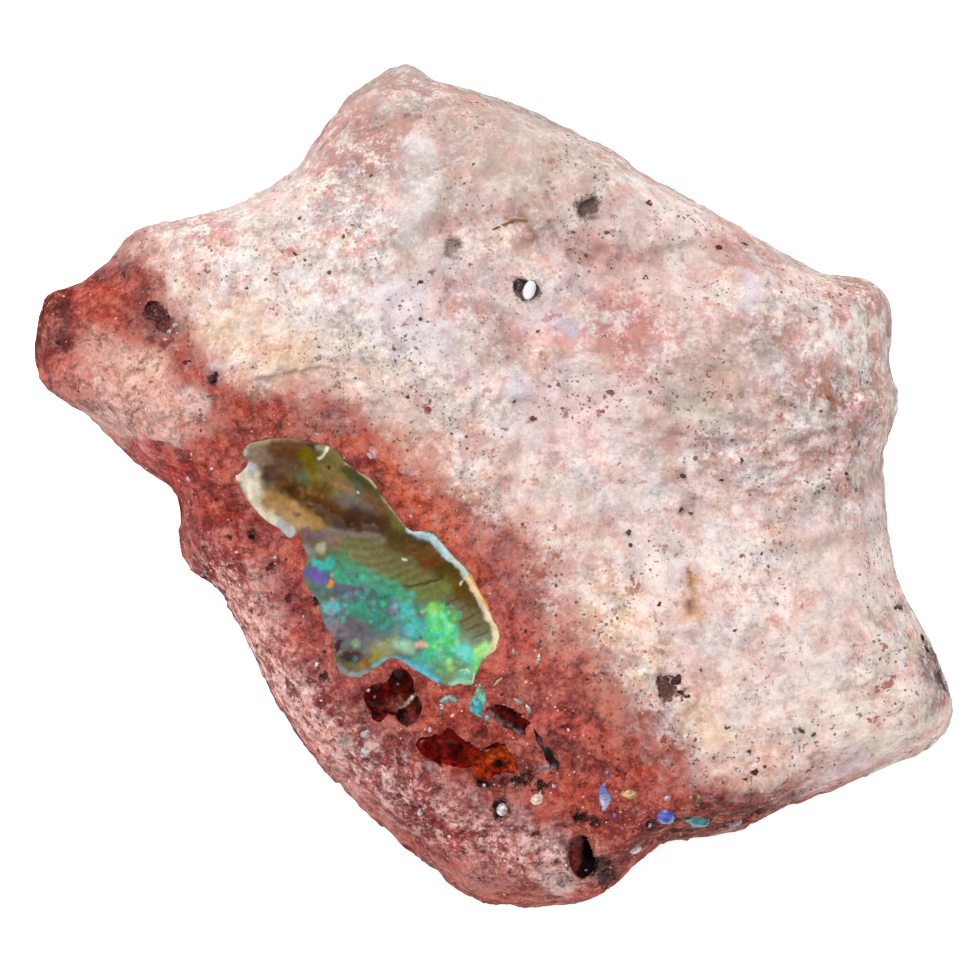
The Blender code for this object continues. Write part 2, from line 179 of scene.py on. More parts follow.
TOP_FACES = {  # x, y, drop there, compass angle of the fall, slope
    "pale_face": (0.0, 4.0, 0.0, -50, 3),
    "upper_slope": (3.0, 12.4, 0.0, 64, 17),
    "peak_flank": (-7.0, 16.0, 1.2, 145, 33),
    "left_shoulder": (-12.5, 11.4, 0.7, 112, 34),
    "left_end": (-20.0, 7.0, 1.4, 187, 40),
    "left_facet": (-18.4, 2.8, 1.9, -140, 42),
    "red_face": (1.0, -6.0, 0.3, -130, 12),
    "foot_face": (1.0, -14.4, 1.9, -112, 30),
    "streaked_rim": (-10.3, -9.6, 2.6, -146, 54),
    "dark_edge": (15.0, -14.7, 1.0, -70, 50),
    "right_end": (20.4, -9.0, 1.4, 18, 40),
    "right_edge": (18.0, 6.0, 0.6, 5, 34),
}
UNDER_CORNERS = [  # compass angle, how far from the middle it leaves the flat break, slope
    (8, 14.4, 46), (74, 13.6, 40), (112, 14.8, 52), (172, 15.2, 42), (243, 14.2, 48), (318, 18.4, 44),
]  # fmt: skip
UNDER_DEPTH = 1.2  # how far the rounded underside would go on below the flat break
RIDGES = {  # its line, half width on its left and right, height
    "upper_furrow": (
        [(-2.4, 13.2), (1.4, 12.4), (4.6, 11.3), (8.2, 11.2), (11.8, 12.3)], 0.8, 1.2, -0.7,
    ),
    "middle_crease": ([(-2.4, 12.6), (-2.1, 9.6), (-1.6, 6.6)], 1.6, 0.6, -0.3),
    "top_ledge": ([(8.6, 4.4), (12.0, 4.2), (15.6, 4.8), (19.4, 6.2)], 2.2, 0.6, 0.6),
    "middle_ledge": ([(7.0, 2.9), (10.6, 2.0), (14.6, 2.4), (19.4, 3.9)], 1.2, 0.6, 0.5),
    "low_ledge": ([(8.0, 0.6), (13.0, 0.2), (17.0, 0.9), (19.6, 1.8)], 1.4, 0.7, 0.4),
    "rim_ridge": ([(-14.4, -3.0), (-11.8, -7.2), (-9.3, -11.0), (-6.2, -14.6)], 0.8, 0.5, 0.4),
    "peak_ridge": ([(-5.2, 20.0), (-4.6, 16.8), (-2.8, 13.8)], 0.9, 1.8, 0.5),
    "left_step": ([(-19.8, 11.0), (-17.6, 8.8), (-15.2, 6.6), (-13.4, 4.0)], 1.6, 0.7, 0.4),
}  # fmt: skip
RIDGE_DRIFT = [(3.0, 1.0), (1.1, 0.4)]  # how far and how finely the ridges' lines wander
RIDGE_BREAKS = [(2.2, 0.9)]  # how unevenly high they are along their length
RIDGE_LEAST = 0.2  # share of their height that is left where they break off
MOUNDS = {  # x, y, half width along X and along Y, height
    "right_mound": (10.0, 7.8, 4.2, 2.4, 0.6),
    "pale_mound": (-7.0, 9.4, 4.5, 3.5, 0.45),
    "lower_mound": (15.0, -7.0, 4.6, 3.8, 0.6),
    "middle_dish": (4.0, -0.5, 4.5, 3.0, -0.4),
    "left_dish": (-17.6, 6.0, 2.4, 2.0, -0.5),
    "foot_dish": (-1.0, -17.2, 2.6, 1.6, -0.4),
}
FRACTAL = (1.0, 2.0, 3)  # how fast a noise's layers weaken, how much finer each is, how many
LUMPS = [(4.6, 0.42), (1.9, 0.16)]  # size and height
UNDER_LUMPS = [(5.5, 0.9), (2.4, 0.3)]
CHIPS = [(3.4, 0.26), (1.4, 0.14), (0.6, 0.07)]  # size and height of small flat chips
CHIP_SEED = 7.0  # picks the way each chip tilts
GRAIN = [(1.1, 0.12), (0.4, 0.06)]
CALM_FOOT = 0.4  # height over the flat break up to which the rock is smoother
CALM_OPAL, OPAL_ROUGHNESS = 0.4, 0.25  # distance from the opal where it is, and what is left there
CALM_RIM, RIM_ROUGHNESS = 1.2, 0.65  # the same of its widest line
FLOW_STEPS = (13.8, 1.8, 6.6, 4.2, 1.15, 0.34)  # middle x and y, half extents, spacing, height
STEP_SPREAD = 1.4  # how many half extents out they end
STEP_TILT, STEP_BOW, STEP_SWAY = 0.18, 0.03, 0.8  # how their lines slope, bend and wander
STEP_SHAPE = 0.6  # how steep their lower side is, where 1 is a plain ramp
RIM_STREAKS = [(-14.8, -2.6), (-12.2, -7.4), (-9.6, -11.4), (-5.4, -16.0)]
STREAK_WIDTH, STREAK_HEIGHT = 1.6, 0.16
STREAK_SIZE = (3.4, 0.42, 0.6)  # along, across, and up

# Where the pale rock turns brick red. The red lies to the right of the line's direction.
RED_EDGE = [
    (-17.8, 13.6), (-17.6, 11.0), (-17.0, 10.1), (-16.2, 8.9), (-15.5, 7.8), (-14.9, 6.4),
    (-13.4, 5.3), (-11.9, 4.7), (-10.3, 4.7), (-8.3, 4.0), (-5.6, 2.0), (-4.3, 1.2), (-2.4, -0.7),
    (-1.0, -1.9), (1.0, -3.6), (2.6, -6.2), (5.2, -8.5), (7.3, -11.6), (8.9, -14.1),
    (11.0, -14.9), (13.0, -15.2), (17.7, -15.2), (24.0, -14.0),
]  # fmt: skip

# Open pits: x, y, radius, depth, colour.
PITS = [
    (4.55, 13.9, 0.58, 0.5, "#7A645C"), (-2.2, 11.9, 0.4, 0.35, "#96827E"),
    (1.2, 10.05, 0.4, 0.6, "#4A3236"), (1.66, 9.74, 0.46, 0.5, "#76666A"),
    (5.6, -19.6, 0.55, 0.5, "#320C0C"), (1.2, -14.7, 0.42, 0.4, "#2E0C0A"),
    (-17.1, 8.7, 0.45, 0.3, "#4A1A1E"), (-16.7, 8.2, 0.3, 0.2, "#5A2224"),
    (8.5, -10.1, 0.42, 0.35, "#5E3834"), (21.9, -8.4, 0.28, 0.3, "#3A1C1A"),
    (22.25, -9.8, 0.36, 0.4, "#40201C"), (21.5, -7.4, 0.24, 0.3, "#54302A"),
    (0.27, -16.1, 0.52, 0.4, "#200A08"), (-0.64, -14.85, 0.24, 0.3, "#200A08"),
    (7.6, -16.85, 0.28, 0.3, "#30201C"), (2.25, -15.0, 0.3, 0.3, "#280C0A"),
    (1.7, -14.55, 0.2, 0.2, "#4A1210"), (0.5, -14.75, 0.22, 0.2, "#5A1612"),
    (3.9, -16.4, 0.3, 0.3, "#240806"), (4.4, -16.55, 0.22, 0.2, "#3A0E0A"),
    (4.85, -16.8, 0.22, 0.2, "#4A120C"), (5.2, -19.0, 0.5, 0.35, "#420E0E"),
    (-8.5, -9.5, 0.26, 0.25, "#2E1012"), (-14.4, -3.1, 0.2, 0.2, "#5A1E20"),
    (-11.2, -4.0, 0.17, 0.2, "#4A1A1C"), (-10.35, -5.6, 0.18, 0.2, "#4E1C20"),
    (-7.6, -12.8, 0.35, 0.2, "#A08A88"), (-12.1, -2.4, 0.2, 0.25, "#3A1414"),
    (-13.3, -2.5, 0.16, 0.2, "#4A1A1A"), (-8.9, -5.6, 0.3, 0.3, "#3C1012"),
    (-14.0, 5.4, 0.25, 0.2, "#4A2230"), (9.1, -10.4, 0.22, 0.25, "#3A201C"),
    (20.2, -6.2, 0.18, 0.2, "#4A2A28"), (2.15, -17.4, 0.3, 0.3, "#7C4440"),
]  # fmt: skip


def smooth_loop(points, steps=8):
    """Points along a closed smooth curve that passes through the given ones (a Catmull-Rom curve)."""
    p = np.array(points, float)
    before, after, later = np.roll(p, 1, 0), np.roll(p, -1, 0), np.roll(p, -2, 0)
    t = np.linspace(0, 1, steps, endpoint=False)[:, None, None]
    curve = 0.5 * (
        2 * p
        + (after - before) * t
        + (2 * before - 5 * p + 4 * after - later) * t**2
        + (3 * p - before - 3 * after + later) * t**3
    )
    return curve.transpose(1, 0, 2).reshape(-1, 2)


def oval(x, y, half_length, half_width, turn, points=12):
    """Points of an ellipse whose length lies along the compass angle turn."""
    around = np.radians(np.arange(points) * 360 / points)
    along, across = half_length * np.cos(around), half_width * np.sin(around)
    a = math.radians(turn)
    return np.column_stack(
        [
            x + along * math.cos(a) - across * math.sin(a),
            y + along * math.sin(a) + across * math.cos(a),
        ]
    )


def reach(points, centre, angle):
    """How far a closed outline lies from a centre that sees all of it, by compass angle in radians."""
    arms = smooth_loop(points) - np.array(centre, float)
    angles = np.arctan2(arms[:, 1], arms[:, 0])
    order = np.argsort(angles)
    return np.interp(angle, angles[order], np.hypot(*arms[order].T), period=2 * math.pi)


def beside(points, x, y):
    """Distance from a line of joined straight stretches, below zero on its right."""
    nearest = np.full(np.shape(x), 1e9)
    for (ax, ay), (bx, by) in zip(points, points[1:]):
        dx, dy = bx - ax, by - ay
        along = np.clip(((x - ax) * dx + (y - ay) * dy) / (dx * dx + dy * dy), 0, 1)
        away = np.hypot(x - ax - along * dx, y - ay - along * dy)
        side = np.where(dx * (y - ay) - dy * (x - ax) < 0, -1.0, 1.0)
        nearest = np.where(away < np.abs(nearest), away * side, nearest)
    return nearest


def within(points, x, y, steps=3):
    """Distance in from a closed smooth outline, below zero outside it."""
    ring = list(smooth_loop(points, steps))
    ring.append(ring[0])
    odd = np.zeros(np.shape(x), bool)
    for (ax, ay), (bx, by) in zip(ring, ring[1:]):
        if ay != by:
            odd ^= ((ay > y) != (by > y)) & (x < ax + (y - ay) * (bx - ax) / (by - ay))
    return np.where(odd, 1.0, -1.0) * np.abs(beside(ring, x, y))


def inset(x, y):
    """Distance in from the stone's widest outline, exactly nothing on it, where its two sides meet."""
    gap = np.clip(reach(OUTLINE, (0, 0), np.arctan2(y, x)) - np.hypot(x, y), 0, None)
    return np.clip(within(OUTLINE, x, y, steps=8), LEAST_INSET * gap, gap)


def soft_least(fields, blend):
    """The least of several fields, with the corners between them rounded off."""
    stack = np.array(fields)
    least = stack.min(0)
    return least - blend * np.log(np.exp((least - stack) / blend).sum(0))


def lumpy(x, y, layers):
    """Smooth uneven relief, the same on each run."""
    relief = 0
    for size, height in layers:
        relief = relief + height * np.array(
            [noise.fractal(Vector((px, py, size)) / size, *FRACTAL) for px, py in zip(x, y)]
        )
    return relief


def chipped(spots, layers):
    """Relief of small flat chips, each tilted its own way."""
    relief = np.zeros(len(spots))
    for size, height in layers:
        for i, spot in enumerate(spots):
            place = spot / size
            middle = noise.voronoi(place)[1][0]
            tilt = noise.cell_vector(middle * CHIP_SEED) - Vector((0.5, 0.5, 0.5))
            relief[i] += 2 * height * (place - middle).dot(tilt)
    return relief


def waves(angle, layers):
    """Height of waves round the stone: their number, their height, and the angle of a crest."""
    return sum(rise * np.cos(count * (angle - math.radians(crest))) for count, rise, crest in layers)


def top_faces(x, y):
    """Height of the top side's broken faces and forms, before its edge is rounded off."""
    faces = []
    for px, py, drop, towards, slope in TOP_FACES.values():
        a = math.radians(towards)
        downhill = (x - px) * math.cos(a) + (y - py) * math.sin(a)
        faces.append(FACE_HEIGHT - drop - math.tan(math.radians(slope)) * downhill)
    height = soft_least(faces, FACET_BLEND)
    drift = wander(x, y, RIDGE_DRIFT)
    uneven = 1 + lumpy(x, y, RIDGE_BREAKS)
    for points, left_width, right_width, rise in RIDGES.values():
        away = beside(points, x + drift[0], y + drift[1])
        form = np.exp(-((away / np.where(away > 0, left_width, right_width)) ** 2))
        height = height + rise * np.maximum(uneven, RIDGE_LEAST) * form
    for mx, my, half_x, half_y, rise in MOUNDS.values():
        height = height + rise * np.exp(-(((x - mx) / half_x) ** 2) - ((y - my) / half_y) ** 2)
    return height + lumpy(x, y, LUMPS)


def under_faces(x, y):
    """Height of the broken corners of the underside, which climb from below the flat break."""
    corners = [np.full(np.shape(x), UNDER_DEPTH)]
    for towards, away, slope in UNDER_CORNERS:
        a = math.radians(towards)
        uphill = x * math.cos(a) + y * math.sin(a) - away
        corners.append(-math.tan(math.radians(slope)) * uphill)
    return lumpy(x, y, UNDER_LUMPS) - soft_least(corners, FACET_BLEND)


def stone_height(x, y, top=True):
    """Height of the stone's top side or underside, with its edge rounded off at the widest line."""
    angle = np.arctan2(y, x)
    rim = RIM_HEIGHT + waves(angle, RIM_WAVES)
    inward = inset(x, y)
    if top:
        rounded = np.clip(inward / TOP_EDGE, 0, 1)
        return rim + np.maximum(top_faces(x, y) - rim, LEAST_DROP) * np.sqrt(1 - (1 - rounded) ** 2)
    down_side = np.clip(inward / (FOOT_INSET + waves(angle, FOOT_WAVES)), 0, 1) ** SIDE_BEND
    side = rim - (rim + UNDER_DEPTH) * down_side
    return np.minimum(-soft_least([-side, -under_faces(x, y)], FACET_BLEND), rim)


def wander(x, y, layers):
    """Sideways drift that makes an edge ragged, from layers of size and reach."""
    drift = np.zeros((2, len(x)))
    for size, far in layers:
        for i, (px, py) in enumerate(zip(x, y)):
            push = noise.noise_vector(Vector((px / size, py / size, size)))
            drift[0, i] += far * push[0]
            drift[1, i] += far * push[1]
    return drift


STROKE_CORE = 0.7  # share of a stroke's half width that has its full strength
STROKE_FADE = 0.8  # width that it fades over, as a share of its soft edge


def paint(colours, x, y, strokes, drift=(0.0, 0.0)):
    """Lays soft-edged strokes over colours: hex code, half width, soft edge, strength, points."""
    colours = np.array(colours, float)
    for code, half_width, soft, strength, *points in strokes:
        if len(points) == 1:
            away = np.hypot(x + drift[0] - points[0][0], y + drift[1] - points[0][1])
        else:
            away = np.abs(beside(points, x + drift[0], y + drift[1]))
        past_core = np.clip(away - half_width * STROKE_CORE, 0, None)
        share = strength * np.exp(-((past_core / soft / STROKE_FADE) ** 2))
        colours += (np.array(tint(code)) - colours) * share[:, None]
    return colours


def add_piece(name, bm, material, slot, stands_for=(), **marks):
    """Makes a piece of a bmesh whose places are in metres, with marks on its points, in the frame."""
    mesh = bpy.data.meshes.new(name)
    bm.to_mesh(mesh)
    bm.free()
    mesh.shade_smooth()
    mesh.materials.append(material)
    for mark, values in marks.items():
        values = np.array(values, np.float32)
        if values.ndim == 2:
            rgba = np.column_stack([values, np.ones(len(values), np.float32)])
            mesh.attributes.new(mark, "FLOAT_COLOR", "POINT").data.foreach_set("color", rgba.ravel())
        else:
            mesh.attributes.new(mark, "FLOAT", "POINT").data.foreach_set("value", values)
    piece = bpy.data.objects.new(name, mesh)
    bpy.context.scene.collection.objects.link(piece)
    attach(piece, "root")
    if stands_for:
        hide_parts(*stands_for)
    return piece


# The hollows that opal fills: outline, centre, and how deep the rock lies under its face there.
HOLLOWS = {
    "precious_opal": (
        [
            (-13.0, 0.45), (-12.7, 0.66), (-12.35, 1.1), (-12.6, 1.6), (-12.35, 2.05),
            (-11.8, 2.22), (-10.95, 2.36), (-10.1, 2.36), (-9.35, 2.22), (-8.3, 1.97),
            (-7.8, 1.65), (-7.5, 1.2), (-6.75, 0.66), (-6.3, 0.4), (-5.95, 0.0), (-5.75, -0.4),
            (-5.1, -1.2), (-4.45, -2.05), (-4.05, -2.28), (-3.55, -2.24), (-3.1, -2.28),
            (-2.85, -2.6), (-2.5, -3.05), (-2.1, -3.5), (-1.55, -4.0), (-1.15, -4.45),
            (-0.9, -5.05), (-0.62, -5.55), (-0.35, -6.0), (-0.15, -6.65), (0.15, -7.1),
            (0.18, -7.6), (0.0, -8.2), (-0.45, -8.55), (-0.85, -9.1), (-1.02, -9.55),
            (-1.1, -9.88), (-1.55, -9.96), (-1.85, -9.88), (-2.2, -10.02), (-2.9, -9.88),
            (-3.3, -9.62), (-4.2, -9.1), (-4.98, -8.7), (-5.4, -8.7), (-6.05, -9.15),
            (-6.4, -9.42), (-6.8, -9.62), (-7.3, -9.58), (-7.75, -9.35), (-8.05, -8.95),
            (-8.0, -8.4), (-8.15, -7.75), (-8.65, -6.7), (-8.8, -6.15), (-8.85, -5.7),
            (-9.35, -5.2), (-9.68, -4.5), (-9.45, -3.65), (-9.55, -3.2), (-9.72, -2.75),
            (-9.68, -2.42), (-9.9, -2.42), (-10.2, -2.66), (-10.5, -2.48), (-10.8, -2.15),
            (-11.3, -1.88), (-12.0, -1.22), (-12.55, -0.45), (-12.8, 0.0),
        ],
        (-6.3, -4.0),
        2.6,
    ),
    "fire_opal_pool": (
        [
            (-4.0, -12.85), (-3.85, -12.62), (-3.45, -12.5), (-2.9, -12.35), (-2.6, -12.08),
            (-2.33, -11.97), (-2.05, -12.08), (-1.75, -12.38), (-1.35, -12.7), (-0.92, -13.05),
            (-0.5, -13.15), (-0.2, -12.9), (0.13, -12.73), (0.48, -12.92), (0.76, -13.35),
            (0.97, -13.85), (1.07, -14.25), (0.5, -14.32), (-0.05, -14.4), (-0.35, -14.66),
            (-0.85, -14.66), (-1.1, -14.45), (-1.3, -14.1), (-1.85, -14.15), (-2.35, -14.05),
            (-2.9, -13.9), (-3.3, -13.62), (-3.75, -13.33), (-3.95, -13.12),
        ],
        (-1.3, -13.45),
        0.9,
    ),
    "cherry_opal_cluster": (
        [
            (-6.75, -10.6), (-6.5, -10.0), (-5.9, -9.75), (-5.45, -9.6), (-5.2, -9.1),
            (-4.75, -8.95), (-4.3, -9.2), (-4.0, -9.7), (-3.85, -10.2), (-3.5, -10.75),
            (-3.45, -11.2), (-3.75, -11.85), (-4.4, -12.2), (-4.95, -11.95), (-5.3, -11.6),
            (-5.7, -11.95), (-6.2, -11.8), (-6.4, -11.3),
        ],
        (-5.1, -10.7),
        0.9,
    ),
    "dark_opal_pocket": (oval(4.25, -18.5, 1.3, 0.85, 98), (4.25, -18.5), 1.3),
    "turquoise_opal_sliver": (
        [
            (-0.82, -9.88), (-1.05, -10.3), (-1.24, -10.75), (-1.28, -11.08), (-1.15, -11.32),
            (-0.97, -11.52), (-0.72, -11.48), (-0.62, -11.08), (-0.52, -10.66), (-0.56, -10.3),
            (-0.68, -9.98),
        ],
        (-0.9, -10.8),
        0.5,
    ),
    "smoky_opal_bar": (
        [
            (-0.55, -11.0), (0.06, -10.88), (0.62, -10.98), (1.11, -11.28), (1.75, -11.62),
            (1.95, -11.86), (1.65, -12.05), (1.52, -12.42), (1.25, -12.5), (0.76, -12.22),
            (0.27, -11.88), (-0.22, -11.52), (-0.55, -11.25),
        ],
        (0.7, -11.6),
        0.5,
    ),
    "smoky_opal_vein": (
        [
            (1.88, -12.1), (1.98, -12.5), (2.1, -12.85), (2.35, -13.3), (2.6, -13.8),
            (2.85, -14.1), (3.1, -14.15), (3.1, -13.85), (2.9, -13.5), (2.65, -13.15),
            (2.35, -12.75), (2.1, -12.4),
        ],
        (2.5, -13.25),
        0.4,
    ),
}  # fmt: skip
HOLLOW_WALL = 0.3  # how far in from a hollow's edge its wall reaches its floor
HOLLOW_LEDGE = 0.12  # how far the rock reaches in under the opal's edge

